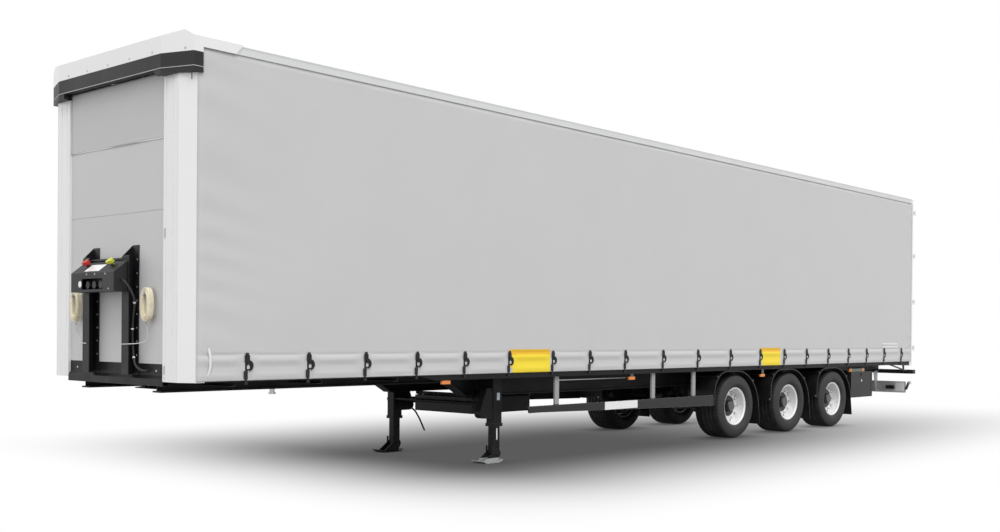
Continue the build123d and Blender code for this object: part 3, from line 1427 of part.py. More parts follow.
# Tool box on the left, hung from the beam, with rounded corners and a drop-down lid
tool_inner = tool_face - tool_depth
lid_inner = tool_face - tool_lid
housing_face = lid_inner - tool_lid_gap
lid_axis_y = tool_face - tool_lid / 2
lid_axis_z = tool_bottom + tool_lid_pin_height
tool_length = tool_rear - tool_front
tool_height = tool_top - tool_bottom
tool_middle = middle(tool_front, tool_rear)
lid_lug_places = (tool_middle - tool_length / 3, tool_middle + tool_length / 3)
with BuildPart() as tool_box:
    with BuildSketch(Plane.XZ.offset(-housing_face)) as housing:
        with Locations((tool_middle, (tool_bottom + tool_top) / 2)):
            RectangleRounded(tool_length, tool_height, tool_round)
    extrude(amount=housing_face - tool_inner)
    with BuildSketch(Plane.XZ.offset(-(housing_face + cut_over))) as housing_space:
        with Locations((tool_middle, (tool_bottom + tool_top) / 2)):
            RectangleRounded(tool_length - 2 * tool_wall, tool_height - 2 * tool_wall, tool_round - tool_wall)
    extrude(amount=housing_face - tool_inner - tool_wall + cut_over, mode=Mode.SUBTRACT)
    for x in lid_lug_places:
        with Locations((x, (housing_face - tool_wall + lid_axis_y + tool_lid_pin_height) / 2, lid_axis_z)):
            Box(lid_lug_width, lid_axis_y + tool_lid_pin_height - housing_face + tool_wall,
                2 * tool_lid_pin_height)
        with Locations((x, lid_axis_y, lid_axis_z)):
            Cylinder(lid_pin_radius, lid_pin_length, rotation=(0, 90, 0))
    for end in (1, -1):
        hanger_x = tool_middle + end * (tool_length / 2 - tool_hanger_width)
        with Locations((hanger_x, (beam_side + tool_inner) / 2,
                        (beam_bottom + 2 * beam_flange_thickness + tool_top) / 2)):
            Box(tool_hanger_width, tool_inner - beam_side, tool_top - beam_bottom - 2 * beam_flange_thickness)
tool_box.part.label = "tool_box"
export_step(tool_box.part, "parts/tool_box.step")

with BuildPart() as tool_box_lid:
    with BuildSketch(Plane.XZ.offset(-tool_face)) as lid_shape:
        with Locations((tool_middle, (tool_bottom + tool_top) / 2)):
            RectangleRounded(tool_length, tool_height, tool_round)
    extrude(amount=tool_lid)
    with BuildSketch(Plane.XZ.offset(-tool_face)) as lid_field:
        with Locations((tool_middle, (tool_bottom + tool_top) / 2)):
            RectangleRounded(tool_length - 2 * tool_lid_rim, tool_height - 2 * tool_lid_rim, tool_round)
    extrude(amount=tool_lid_recess, mode=Mode.SUBTRACT)
    for x in lid_lug_places:
        with Locations((x, lid_axis_y, lid_axis_z)):
            Box(lid_lug_width + 2 * tool_lid_gap, 2 * tool_lid, 2 * (2 * tool_lid_pin_height + tool_lid_gap),
                mode=Mode.SUBTRACT)
            Cylinder(lid_pin_radius + seat_gap, lid_pin_length + tool_lid_gap, rotation=(0, 90, 0),
                     mode=Mode.SUBTRACT)
    with Locations((tool_middle, tool_face, tool_top - 2 * latch_radius)):
        Cylinder(latch_radius, tool_lid / 2, rotation=(90, 0, 0))
tool_box_lid.part.label = "tool_box_lid"
export_step(tool_box_lid.part, "parts/tool_box_lid.step")

# Amber marker lamps on small plates under the raves
with BuildPart() as marker_lamps:
    for setback, height in marker_places:
        for side, sign in sides:
            with Locations((along(setback), sign * (rave_inner - marker_depth / 2), height)):
                Box(marker_length, marker_depth, marker_height)
            with Locations((along(setback), sign * (rave_inner - marker_plate / 2), (height + rave_bottom) / 2)):
                Box(marker_length / 2, marker_plate, rave_bottom - height)
marker_lamps.part.label = "marker_lamps"
export_step(marker_lamps.part, "parts/marker_lamps.step")

print(f"hinge axis x {hinge_axis_x:.1f}, wheel x {[round(along(b), 1) for b in axle_setbacks]}")
print(f"lid axis y {lid_axis_y:.1f} z {lid_axis_z:.1f}, kingpin x {along(kingpin_setback):.1f}")
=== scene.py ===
# %% [markdown]
# # A curtain-sided semi trailer, parked on its landing legs
# The structure comes packed from CAD: beams, raves, posts, doors, axles and legs, each with its joints. Here
# every surface gets its finish, and what is soft or small is built as its own mesh: cloth, rope, cable,
# tyre tread, rivets and bolts. All places are in metres in the CAD's own frame, with +X forward, +Y to the
# trailer's left and +Z up. Where the CAD has a surface, a piece is seated on it. The routes of the cords, the
# places of small pieces, the colours and the lamps were set by comparing renders with the photograph.

# %% Load the fixed frame
import math

import bpy
import numpy as np
from mathutils import Matrix, Vector


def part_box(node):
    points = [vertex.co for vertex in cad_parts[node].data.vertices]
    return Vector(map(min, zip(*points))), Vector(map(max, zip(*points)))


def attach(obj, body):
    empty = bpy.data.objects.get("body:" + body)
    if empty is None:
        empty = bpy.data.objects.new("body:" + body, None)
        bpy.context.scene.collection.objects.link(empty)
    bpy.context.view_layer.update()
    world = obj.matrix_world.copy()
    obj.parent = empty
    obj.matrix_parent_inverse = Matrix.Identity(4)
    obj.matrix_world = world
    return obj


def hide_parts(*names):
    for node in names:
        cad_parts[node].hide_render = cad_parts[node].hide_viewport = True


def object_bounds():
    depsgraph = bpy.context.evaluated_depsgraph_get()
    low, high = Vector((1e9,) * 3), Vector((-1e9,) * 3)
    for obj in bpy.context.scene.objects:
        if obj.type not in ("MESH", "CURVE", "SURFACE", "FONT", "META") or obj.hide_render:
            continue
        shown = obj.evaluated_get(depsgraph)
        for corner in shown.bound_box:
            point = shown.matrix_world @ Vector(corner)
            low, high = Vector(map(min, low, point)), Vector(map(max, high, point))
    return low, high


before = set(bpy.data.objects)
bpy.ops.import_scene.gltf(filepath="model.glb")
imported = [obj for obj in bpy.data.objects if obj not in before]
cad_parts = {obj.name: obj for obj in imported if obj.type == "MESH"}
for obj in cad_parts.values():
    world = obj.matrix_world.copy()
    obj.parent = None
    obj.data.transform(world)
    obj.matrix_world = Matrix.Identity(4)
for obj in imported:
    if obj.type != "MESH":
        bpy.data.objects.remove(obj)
cad_low, cad_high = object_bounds()
wall_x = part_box("front_posts")[1].x
floor_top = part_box("load_floor")[1].z
rave_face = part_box("side_rave_left")[1].y
print("front wall at x", round(wall_x, 3), "floor at z", round(floor_top, 3))


def along(setback):
    """The X of a place that lies this far behind the front wall's face."""
    return wall_x - setback


# %% [markdown]
# ## The camera
# The photograph looks at the front left corner from slightly above a person's eye, with the lens shifted so
# that uprights stay upright. The camera stands where the straight edges of the body say it stood: turning
# it by these three angles and shifting the lens repeats the photograph's frame.

# %% Camera at the photograph's place
focal_px, frame_width, frame_height = 1128.97, 1000, 532
centre_u, centre_v = 681.06, 342.0
turn, pitch, roll = (math.radians(a) for a in (37.32, -0.36, 0.54))
camera_behind_wall = -4.976
camera_place = np.array([along(camera_behind_wall), 10.214, 1.443])

forward = np.array([-math.cos(turn) * math.cos(pitch), -math.sin(turn) * math.cos(pitch), math.sin(pitch)])
level_right = np.array([-math.sin(turn), math.cos(turn), 0.0])
level_up = np.cross(level_right, forward)
right = math.cos(roll) * level_right + math.sin(roll) * level_up
up = -math.sin(roll) * level_right + math.cos(roll) * level_up

camera_data = bpy.data.cameras.new("photo_camera")
camera_data.sensor_width = 36
camera_data.lens = camera_data.sensor_width * focal_px / frame_width
camera_data.shift_x = (frame_width / 2 - centre_u) / frame_width
camera_data.shift_y = (centre_v - frame_height / 2) / frame_width
camera_data.clip_end = 200
camera = bpy.data.objects.new("photo_camera", camera_data)
rotation = np.column_stack([right, up, -forward])
camera.matrix_world = Matrix.Translation(camera_place) @ Matrix(rotation.tolist()).to_4x4()
bpy.context.scene.collection.objects.link(camera)
bpy.context.scene.camera = camera
print("lens", round(camera_data.lens, 2), "mm")
print("shift", round(camera_data.shift_x, 3), round(camera_data.shift_y, 3))

# %% [markdown]
# ## Making meshes from arrays
# Almost every new piece is a grid of points: rows along one parameter and columns along the other. One
# helper turns such an array into faces, another makes the object, and a third stacks many small copies of
# one shape into a single mesh, so that hundreds of bolts cost one object.


# %% Grid, object and copies
def grid_faces(rows, columns, close_rows=False, close_columns=False):
    """Quads between neighbours of a rows x columns grid, as an (n, 4) array of point numbers."""
    number = np.arange(rows * columns).reshape(rows, columns)
    if close_rows:
        number = np.vstack([number, number[:1]])
    if close_columns:
        number = np.hstack([number, number[:, :1]])
    return np.stack([number[:-1, :-1], number[:-1, 1:], number[1:, 1:], number[1:, :-1]], axis=-1).reshape(-1, 4)


def make_object(name, points, faces, smooth=True):
    """A mesh object at the origin with its place in its vertices. A quad whose last point is repeated is a
    triangle. One that repeats its first point isn't seen as one, and validate drops it."""
    mesh = bpy.data.meshes.new(name)
    points = np.asarray(points, float).reshape(-1, 3)
    faces = np.asarray(faces)
    used = np.ones(faces.shape, bool)
    used[:, -1] = faces[:, -1] != faces[:, -2]
    mesh.vertices.add(len(points))
    mesh.vertices.foreach_set("co", points.astype(np.float32).ravel())
    mesh.loops.add(int(used.sum()))
    mesh.loops.foreach_set("vertex_index", faces[used].astype(np.int32))
    mesh.polygons.add(len(faces))
    starts = np.concatenate([[0], np.cumsum(used.sum(axis=1))[:-1]])
    mesh.polygons.foreach_set("loop_start", starts.astype(np.int32))
    mesh.polygons.foreach_set("use_smooth", np.full(len(faces), smooth))
    mesh.update(calc_edges=True)
    mesh.validate()
    piece = bpy.data.objects.new(name, mesh)
    bpy.context.scene.collection.objects.link(piece)
    return piece


def finish_piece(piece, material, body="chassis", replaces=()):
    """Gives a piece its material and slot, seats it on its body, and hides the CAD nodes it stands for."""
    piece.data.materials.clear()
    piece.data.materials.append(material)
    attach(piece, body)
    if replaces:
        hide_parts(*replaces)
    return piece


def stack(parts):
    """Joins (points, faces) pairs into one pair, with each part's point numbers moved past the last."""
    points, faces, count = [], [], 0
    for part_points, part_faces in parts:
        part_points = np.asarray(part_points, float).reshape(-1, 3)
        points.append(part_points)
        faces.append(np.asarray(part_faces) + count)
        count += len(part_points)
    return np.vstack(points), np.vstack(faces)


def copies(shape, places, turns=None):
    """One (points, faces) shape repeated at each place. turns holds a 3 x 3 matrix for each copy."""
    points, faces = shape
    places = np.asarray(places, float).reshape(-1, 3)
    if turns is None:
        moved = points[None, :, :] + places[:, None, :]
    else:
        moved = np.einsum("nij,pj->npi", np.asarray(turns, float), points) + places[:, None, :]
    shift = np.arange(len(places))[:, None, None] * len(points)
    return moved.reshape(-1, 3), (faces[None] + shift).reshape(-1, faces.shape[1])


# %% Round and boxy shapes
def lathe(profile, segments=32, axis="y"):
    """Turns a profile of (distance along the axis, radius) pairs round the axis, as rings of quads. Its two
    ends stay open, so a profile that ends at a radius of 0.1 mm leaves a hole of that size."""
    profile = np.asarray(profile, float)
    angle = np.linspace(0, 2 * np.pi, segments, endpoint=False)
    run, radius = profile[:, 0][:, None], profile[:, 1][:, None]
    ring = np.stack([radius * np.cos(angle), run + 0 * angle, radius * np.sin(angle)], axis=-1)
    faces = grid_faces(len(profile), segments, close_columns=True)
    order = {"y": [0, 1, 2], "x": [1, 2, 0], "z": [2, 0, 1]}[axis]
    return ring.reshape(-1, 3)[:, order], faces


def soft_box(size, bevel):
    """A box with bevelled edges: 24 points, three at each corner, one for each face that meets there."""
    half = np.asarray(size, float) / 2
    corners = np.array([[x, y, z] for x in (-1, 1) for y in (-1, 1) for z in (-1, 1)], float)
    points = np.array([c * (half - bevel) + np.eye(3)[a] * c[a] * bevel for c in corners for a in range(3)])
    number = {(tuple(c), a): 3 * i + a for i, c in enumerate(corners.tolist()) for a in range(3)}
    faces = []
    for a in range(3):
        b, c = (a + 1) % 3, (a + 2) % 3
        for sign in (-1, 1):
            ring = [(-1, -1), (1, -1), (1, 1), (-1, 1)]
            loop = []
            for p, q in ring:
                corner = [0.0, 0.0, 0.0]
                corner[a], corner[b], corner[c] = sign, p, q
                loop.append(number[(tuple(corner), a)])
            faces.append(loop if sign > 0 else loop[::-1])
        for p in (-1.0, 1.0):
            for q in (-1.0, 1.0):
                low, high = [0.0] * 3, [0.0] * 3
                low[a], high[a] = -1.0, 1.0
                low[b] = high[b] = p
                low[c] = high[c] = q
                loop = [number[(tuple(low), b)], number[(tuple(high), b)],
                        number[(tuple(high), c)], number[(tuple(low), c)]]
                faces.append(loop[::-1] if p * q > 0 else loop)
    for c in corners.tolist():
        loop = [number[(tuple(c), 0)], number[(tuple(c), 1)], number[(tuple(c), 2)]]
        if c[0] * c[1] * c[2] < 0:
            loop = loop[::-1]
        faces.append(loop + loop[-1:])
    return points, np.array(faces)


# %% [markdown]
# ## Finishes shared by many materials
# New paint, coated cloth and cast metal all have the same three things: a colour that drifts a little, a
# gloss that drifts a little, and a fine relief. Each is a node group with its own inputs, so one recipe
# serves every material at its own scale. Patterns read Object coordinates, in metres, because each piece
# sits at the origin.


# %% Helpers for node groups
def add_node(tree, kind, **settings):
    """A node with its properties set. Keys that are input names, given as inputs=, set socket defaults."""
    inputs = settings.pop("inputs", {})
    node = tree.nodes.new(kind)
    for key, value in settings.items():
        setattr(node, key, value)
    for key, value in inputs.items():
        node.inputs[key].default_value = value
    return node


def link_all(tree, pairs):
    """Links each (output, input) pair of sockets."""
    for source, target in pairs:
        tree.links.new(source, target)


def new_group(name, inputs, outputs):
    """A shader group with (name, socket kind, default) inputs and (name, socket kind) outputs."""
    group = bpy.data.node_groups.new(name, "ShaderNodeTree")
    for label, kind, default in inputs:
        socket = group.interface.new_socket(label, in_out="INPUT", socket_type=kind)
        socket.default_value = default
    for label, kind in outputs:
        group.interface.new_socket(label, in_out="OUTPUT", socket_type=kind)
    return group, group.nodes.new("NodeGroupInput"), group.nodes.new("NodeGroupOutput")


FLOAT, COLOUR, VECTOR = "NodeSocketFloat", "NodeSocketColor", "NodeSocketVector"

# %% Group: drifting colour and gloss with a fine grain
grain, grain_in, grain_out = new_group(
    "surface_grain",
    [("Color", COLOUR, (0.5, 0.5, 0.5, 1)), ("Drift", FLOAT, 0.05), ("Drift Scale", FLOAT, 3.0),
     ("Roughness", FLOAT, 0.5), ("Roughness Spread", FLOAT, 0.1), ("Grain Scale", FLOAT, 400.0),
     ("Grain Depth", FLOAT, 0.1)],
    [("Color", COLOUR), ("Roughness", FLOAT), ("Normal", VECTOR)])
g = grain.nodes
place = g.new("ShaderNodeTexCoord")
drift = add_node(grain, "ShaderNodeTexNoise", inputs={"Detail": 5.0, "Roughness": 0.6})
fine = add_node(grain, "ShaderNodeTexNoise", inputs={"Detail": 2.0})
swing = add_node(grain, "ShaderNodeMapRange",
                 inputs={"From Min": 0.3, "From Max": 0.7, "To Min": -1.0, "To Max": 1.0})
tint = add_node(grain, "ShaderNodeMath", operation="MULTIPLY_ADD", inputs={2: 1.0})
shade = add_node(grain, "ShaderNodeVectorMath", operation="SCALE")
gloss = add_node(grain, "ShaderNodeMath", operation="MULTIPLY_ADD")
relief = add_node(grain, "ShaderNodeBump", inputs={"Distance": 0.0006})
link_all(grain, [
    (place.outputs["Object"], drift.inputs["Vector"]), (place.outputs["Object"], fine.inputs["Vector"]),
    (grain_in.outputs["Drift Scale"], drift.inputs["Scale"]),
    (grain_in.outputs["Grain Scale"], fine.inputs["Scale"]),
    (drift.outputs["Fac"], swing.inputs["Value"]), (swing.outputs["Result"], tint.inputs[0]),
    (grain_in.outputs["Drift"], tint.inputs[1]), (grain_in.outputs["Color"], shade.inputs[0]),
    (tint.outputs[0], shade.inputs["Scale"]), (shade.outputs[0], grain_out.inputs["Color"]),
    (swing.outputs["Result"], gloss.inputs[0]), (grain_in.outputs["Roughness Spread"], gloss.inputs[1]),
    (grain_in.outputs["Roughness"], gloss.inputs[2]), (gloss.outputs[0], grain_out.inputs["Roughness"]),
    (fine.outputs["Fac"], relief.inputs["Height"]), (grain_in.outputs["Grain Depth"], relief.inputs["Strength"]),
    (relief.outputs["Normal"], grain_out.inputs["Normal"])])

# %% Group: a woven cloth under a thin coat
weave, weave_in, weave_out = new_group(
    "woven_relief", [("Threads per Metre", FLOAT, 500.0), ("Depth", FLOAT, 0.2), ("Normal", VECTOR, (0, 0, 0))],
    [("Normal", VECTOR)])
place = weave.nodes.new("ShaderNodeTexCoord")
parts = weave.nodes.new("ShaderNodeSeparateXYZ")
weave.links.new(place.outputs["Object"], parts.inputs[0])
sides = []
for first, second in (("X", "Y"), ("Z", None)):
    if second:
        run = add_node(weave, "ShaderNodeMath", operation="ADD")
        weave.links.new(parts.outputs[first], run.inputs[0])
        weave.links.new(parts.outputs[second], run.inputs[1])
        source = run.outputs[0]
    else:
        source = parts.outputs[first]
    phase = add_node(weave, "ShaderNodeMath", operation="MULTIPLY")
    weave.links.new(source, phase.inputs[0])
    weave.links.new(weave_in.outputs["Threads per Metre"], phase.inputs[1])
    wave = add_node(weave, "ShaderNodeMath", operation="SINE")
    turn_node = add_node(weave, "ShaderNodeMath", operation="MULTIPLY", inputs={1: math.pi})
    weave.links.new(phase.outputs[0], turn_node.inputs[0])
    weave.links.new(turn_node.outputs[0], wave.inputs[0])
    sides.append(wave.outputs[0])
crossing = add_node(weave, "ShaderNodeMath", operation="MULTIPLY")
weave.links.new(sides[0], crossing.inputs[0])
weave.links.new(sides[1], crossing.inputs[1])
relief = add_node(weave, "ShaderNodeBump", inputs={"Distance": 0.0004})
weave.links.new(crossing.outputs[0], relief.inputs["Height"])
weave.links.new(weave_in.outputs["Depth"], relief.inputs["Strength"])
weave.links.new(weave_in.outputs["Normal"], relief.inputs["Normal"])
weave.links.new(relief.outputs["Normal"], weave_out.inputs["Normal"])

# %% Group: paint or coating lighter where edges turn, partly rubbed wear and partly painted highlight
edges, edges_in, edges_out = new_group(
    "worn_and_highlit_edges",
    [("Color", COLOUR, (0.1, 0.1, 0.1, 1)), ("Edge Color", COLOUR, (0.3, 0.3, 0.3, 1)), ("Amount", FLOAT, 0.5),
     ("Width", FLOAT, 0.004)],
    [("Color", COLOUR)])
rounded = add_node(edges, "ShaderNodeBevel", samples=3)
flat = edges.nodes.new("ShaderNodeNewGeometry")
alike = add_node(edges, "ShaderNodeVectorMath", operation="DOT_PRODUCT")
turned = add_node(edges, "ShaderNodeMapRange",
                  inputs={"From Min": 0.995, "From Max": 0.85, "To Min": 0.0, "To Max": 1.0})
place = edges.nodes.new("ShaderNodeTexCoord")
broken = add_node(edges, "ShaderNodeTexNoise", inputs={"Scale": 30.0, "Detail": 4.0})
chips = add_node(edges, "ShaderNodeMapRange", inputs={"From Min": 0.35, "From Max": 0.65})
edge_share = add_node(edges, "ShaderNodeMath", operation="MULTIPLY")
amount = add_node(edges, "ShaderNodeMath", operation="MULTIPLY", use_clamp=True)
blend_edges = add_node(edges, "ShaderNodeMix", data_type="RGBA")
link_all(edges, [
    (edges_in.outputs["Width"], rounded.inputs["Radius"]), (rounded.outputs["Normal"], alike.inputs[0]),
    (flat.outputs["Normal"], alike.inputs[1]), (alike.outputs["Value"], turned.inputs["Value"]),
    (place.outputs["Object"], broken.inputs["Vector"]), (broken.outputs["Fac"], chips.inputs["Value"]),
    (turned.outputs["Result"], edge_share.inputs[0]), (chips.outputs["Result"], edge_share.inputs[1]),
    (edge_share.outputs[0], amount.inputs[0]), (edges_in.outputs["Amount"], amount.inputs[1]),
    (amount.outputs[0], blend_edges.inputs["Factor"]), (edges_in.outputs["Color"], blend_edges.inputs[6]),
    (edges_in.outputs["Edge Color"], blend_edges.inputs[7]), (blend_edges.outputs[2], edges_out.inputs["Color"])])

# %% Group: a film of road dust that thins out with height
dust, dust_in, dust_out = new_group(
    "road_dust",
    [("Color", COLOUR, (0.1, 0.1, 0.1, 1)), ("Dust Color", COLOUR, (0.22, 0.20, 0.18, 1)), ("Amount", FLOAT, 0.2),
     ("Top", FLOAT, 1.2)],
    [("Color", COLOUR)])
place = dust.nodes.new("ShaderNodeTexCoord")
parts = dust.nodes.new("ShaderNodeSeparateXYZ")
low = add_node(dust, "ShaderNodeMapRange", inputs={"From Min": 0.0, "To Min": 1.0, "To Max": 0.0})
patchy = add_node(dust, "ShaderNodeTexNoise", inputs={"Scale": 7.0, "Detail": 6.0, "Roughness": 0.65})
spots = add_node(dust, "ShaderNodeMapRange", inputs={"From Min": 0.35, "From Max": 0.7})
film = add_node(dust, "ShaderNodeMath", operation="MULTIPLY")
film_amount = add_node(dust, "ShaderNodeMath", operation="MULTIPLY", use_clamp=True)
blend_dust = add_node(dust, "ShaderNodeMix", data_type="RGBA")
link_all(dust, [
    (place.outputs["Object"], parts.inputs[0]), (place.outputs["Object"], patchy.inputs["Vector"]),
    (parts.outputs["Z"], low.inputs["Value"]), (dust_in.outputs["Top"], low.inputs["From Max"]),
    (patchy.outputs["Fac"], spots.inputs["Value"]), (low.outputs["Result"], film.inputs[0]),
    (spots.outputs["Result"], film.inputs[1]), (film.outputs[0], film_amount.inputs[0]),
    (dust_in.outputs["Amount"], film_amount.inputs[1]), (film_amount.outputs[0], blend_dust.inputs["Factor"]),
    (dust_in.outputs["Color"], blend_dust.inputs[6]), (dust_in.outputs["Dust Color"], blend_dust.inputs[7]),
    (blend_dust.outputs[2], dust_out.inputs["Color"])])


# %% A material from the groups
def make_material(name, colour, roughness, metallic=0.0, drift=0.04, drift_scale=3.0, spread=0.05,
                  grain_scale=500.0, grain_depth=0.1, edge_colour=None, edge_amount=0.5, edge_width=0.004,
                  dust_amount=0.0, dust_top=1.2, threads=None, thread_depth=0.2, coat=0.0, coat_roughness=0.1,
                  sheen=0.0, specular=0.5):
    """A Principled material with grain, and with lighter edges (wear and painted highlight), dust or a weave where
    they are asked for.
    """
    material = bpy.data.materials.new(name)
    material.use_nodes = True
    tree = material.node_tree
    shader = tree.nodes["Principled BSDF"]
    shader.inputs["Metallic"].default_value = metallic
    shader.inputs["Coat Weight"].default_value = coat
    shader.inputs["Coat Roughness"].default_value = coat_roughness
    shader.inputs["Sheen Weight"].default_value = sheen
    shader.inputs["Specular IOR Level"].default_value = specular
    base = add_node(tree, "ShaderNodeGroup", node_tree=grain, label="grain")
    base.inputs["Color"].default_value = (*colour, 1)
    for key, value in (("Drift", drift), ("Drift Scale", drift_scale), ("Roughness", roughness),
                       ("Roughness Spread", spread), ("Grain Scale", grain_scale), ("Grain Depth", grain_depth)):
        base.inputs[key].default_value = value
    colour_out, normal_out = base.outputs["Color"], base.outputs["Normal"]
    if edge_colour is not None:
        edge_tone = add_node(tree, "ShaderNodeGroup", node_tree=edges, label="edges")
        edge_tone.inputs["Edge Color"].default_value = (*edge_colour, 1)
        edge_tone.inputs["Amount"].default_value = edge_amount
        edge_tone.inputs["Width"].default_value = edge_width
        tree.links.new(colour_out, edge_tone.inputs["Color"])
        colour_out = edge_tone.outputs["Color"]
    if dust_amount > 0:
        dusty = add_node(tree, "ShaderNodeGroup", node_tree=dust, label="dust")
        dusty.inputs["Amount"].default_value = dust_amount
        dusty.inputs["Top"].default_value = dust_top
        tree.links.new(colour_out, dusty.inputs["Color"])
        colour_out = dusty.outputs["Color"]
    if threads is not None:
        woven = add_node(tree, "ShaderNodeGroup", node_tree=weave, label="weave")
        woven.inputs["Threads per Metre"].default_value = threads
        woven.inputs["Depth"].default_value = thread_depth
        tree.links.new(normal_out, woven.inputs["Normal"])
        normal_out = woven.outputs["Normal"]
    tree.links.new(colour_out, shader.inputs["Base Color"])
    tree.links.new(base.outputs["Roughness"], shader.inputs["Roughness"])
    tree.links.new(normal_out, shader.inputs["Normal"])
    return material


def dress(material, *nodes):
    """Puts a material on CAD nodes whose shape stays as it is packed."""
    for name in nodes:
        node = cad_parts[name]
        node.data.materials.clear()
        node.data.materials.append(material)


# %% [markdown]
# ## The materials
# The trailer is new, so wear is slight: satin black paint on the chassis, dark moulded plastic round the
# front, white paint, plain aluminium, and coated cloth with a soft sheen. Colours and gloss were changed until
# a render looked like the photograph.

# %% Paints, metals, plastics, cloth and rubber
satin_black = dict(colour=(0.012, 0.012, 0.013), roughness=0.42, drift=0.15, drift_scale=5, spread=0.08,
                   grain_scale=260, grain_depth=0.12, edge_width=0.005, dust_amount=0.06, dust_top=1.1,
                   specular=0.16)
clear_lens = dict(roughness=0.15, drift=0.03, spread=0.02, grain_scale=200, grain_depth=0.05, coat=0.6,
                  coat_roughness=0.05)
lens_red, lens_amber = (0.45, 0.012, 0.01), (0.80, 0.23, 0.012)
chassis_paint = make_material("chassis_paint", edge_colour=(0.10, 0.10, 0.105), edge_amount=0.7, **satin_black)
stand_paint = make_material("stand_paint", (0.012, 0.012, 0.014), 0.42, drift=0.12, drift_scale=9, spread=0.06,
                            grain_scale=420, grain_depth=0.15, edge_colour=(0.11, 0.11, 0.12), edge_amount=0.6,
                            specular=0.2)
dark_plastic = make_material("dark_plastic", (0.022, 0.022, 0.024), 0.5, drift=0.06, spread=0.05, grain_scale=650,
                             grain_depth=0.25, edge_colour=(0.16, 0.16, 0.165), edge_amount=0.55, specular=0.3)
# Its lighter edges on the mudguards' rounded fronts are a painted highlight.
black_plastic = make_material("black_plastic", (0.013, 0.013, 0.014), 0.34, drift=0.1, spread=0.07,
                              grain_scale=500, grain_depth=0.2, edge_colour=(0.16, 0.16, 0.165), edge_amount=0.7,
                              edge_width=0.005, dust_amount=0.08, specular=0.3)
white_paint = make_material("white_paint", (0.86, 0.86, 0.86), 0.32, drift=0.012, spread=0.04, grain_scale=300,
                            grain_depth=0.04, coat=0.25, coat_roughness=0.15)
wall_panel = make_material("wall_panel", (0.59, 0.59, 0.594), 0.45, drift=0.02, drift_scale=1.2, spread=0.04,
                           grain_scale=350, grain_depth=0.08)
front_cloth = make_material("front_cloth", (0.54, 0.54, 0.544), 0.5, drift=0.03, drift_scale=1.5, spread=0.05,
                            grain_scale=180, grain_depth=0.05, threads=400, thread_depth=0.16, sheen=0.05)
roof_cloth = make_material("roof_cloth", (0.80, 0.80, 0.80), 0.5, drift=0.02, spread=0.05, grain_scale=180,
                           grain_depth=0.06, threads=400, thread_depth=0.16)
rail_aluminium = make_material("rail_aluminium", (0.70, 0.705, 0.71), 0.38, metallic=0.35, drift=0.03, spread=0.06,
                               grain_scale=700, grain_depth=0.08)
beam_aluminium = make_material("beam_aluminium", (0.62, 0.625, 0.63), 0.42, metallic=0.15, drift=0.05, spread=0.07,
                               grain_scale=600, grain_depth=0.12, dust_amount=0.15)
galvanised = make_material("galvanised", (0.50, 0.51, 0.52), 0.4, metallic=0.75, drift=0.10, drift_scale=45,
                           spread=0.12, grain_scale=240, grain_depth=0.1, dust_amount=0.1)
bare_steel = make_material("bare_steel", (0.55, 0.55, 0.56), 0.3, metallic=1.0, drift=0.05, spread=0.08,
                           grain_scale=500, grain_depth=0.1)
wheel_metal = make_material("wheel_metal", (0.90, 0.90, 0.905), 0.34, metallic=0.12, drift=0.04, drift_scale=12,
                            spread=0.06, grain_scale=600, grain_depth=0.06, dust_amount=0.05)
tyre_rubber = make_material("tyre_rubber", (0.011, 0.011, 0.0115), 0.68, drift=0.15, drift_scale=8, spread=0.08,
                            grain_scale=350, grain_depth=0.3, dust_amount=0.16, dust_top=1.4, specular=0.35)
bellows_rubber = make_material("bellows_rubber", (0.015, 0.015, 0.016), 0.6, drift=0.1, spread=0.06,
                               grain_scale=300, grain_depth=0.2, dust_amount=0.15)
floor_ply = make_material("floor_ply", (0.16, 0.085, 0.045), 0.5, drift=0.25, drift_scale=14, spread=0.1,
                          grain_scale=300, grain_depth=0.3)
red_lens = make_material("red_lens", lens_red, **clear_lens)
amber_lens = make_material("amber_lens", lens_amber, **clear_lens)
buckle_steel = make_material("buckle_steel", (0.016, 0.016, 0.017), 0.4, drift=0.15, drift_scale=20, spread=0.1,
                             grain_scale=400, grain_depth=0.15, edge_colour=(0.12, 0.12, 0.125), specular=0.3)
cable_sheath = make_material("cable_sheath", (0.02, 0.02, 0.02), 0.5, drift=0.1, drift_scale=30, spread=0.08,
                             grain_scale=600, grain_depth=0.15)
rope_cover = make_material("rope_cover", (0.88, 0.80, 0.61), 0.45, drift=0.08, drift_scale=25, spread=0.08,
                           grain_scale=900, grain_depth=0.2, coat=0.2)
white_webbing = make_material("white_webbing", (0.85, 0.85, 0.84), 0.6, drift=0.03, spread=0.05, grain_scale=300,
                              grain_depth=0.1, threads=700, thread_depth=0.5)


# %% Groups: a rectangle seen from the side, and one seen from the front
def rectangle_group(name, axes):
    """A group whose Mask is 1 inside a rectangle of two Object coordinates and 0 outside it."""
    group, group_in, group_out = new_group(
        name, [(f"{end} {axis}", FLOAT, value) for axis in axes for end, value in (("Low", 0.0), ("High", 1.0))],
        [("Mask", FLOAT)])
    place = group.nodes.new("ShaderNodeTexCoord")
    parts = group.nodes.new("ShaderNodeSeparateXYZ")
    group.links.new(place.outputs["Object"], parts.inputs[0])
    tests = []
    for axis in axes:
        for end, operation in (("Low", "GREATER_THAN"), ("High", "LESS_THAN")):
            test = add_node(group, "ShaderNodeMath", operation=operation)
            group.links.new(parts.outputs[axis], test.inputs[0])
            group.links.new(group_in.outputs[f"{end} {axis}"], test.inputs[1])
            tests.append(test.outputs[0])
    inside = tests[0]
    for test in tests[1:]:
        both = add_node(group, "ShaderNodeMath", operation="MULTIPLY")
        group.links.new(inside, both.inputs[0])
        group.links.new(test, both.inputs[1])
        inside = both.outputs[0]
    group.links.new(inside, group_out.inputs["Mask"])
    return group


side_rectangle = rectangle_group("side_rectangle", "XZ")
front_rectangle = rectangle_group("front_rectangle", "YZ")


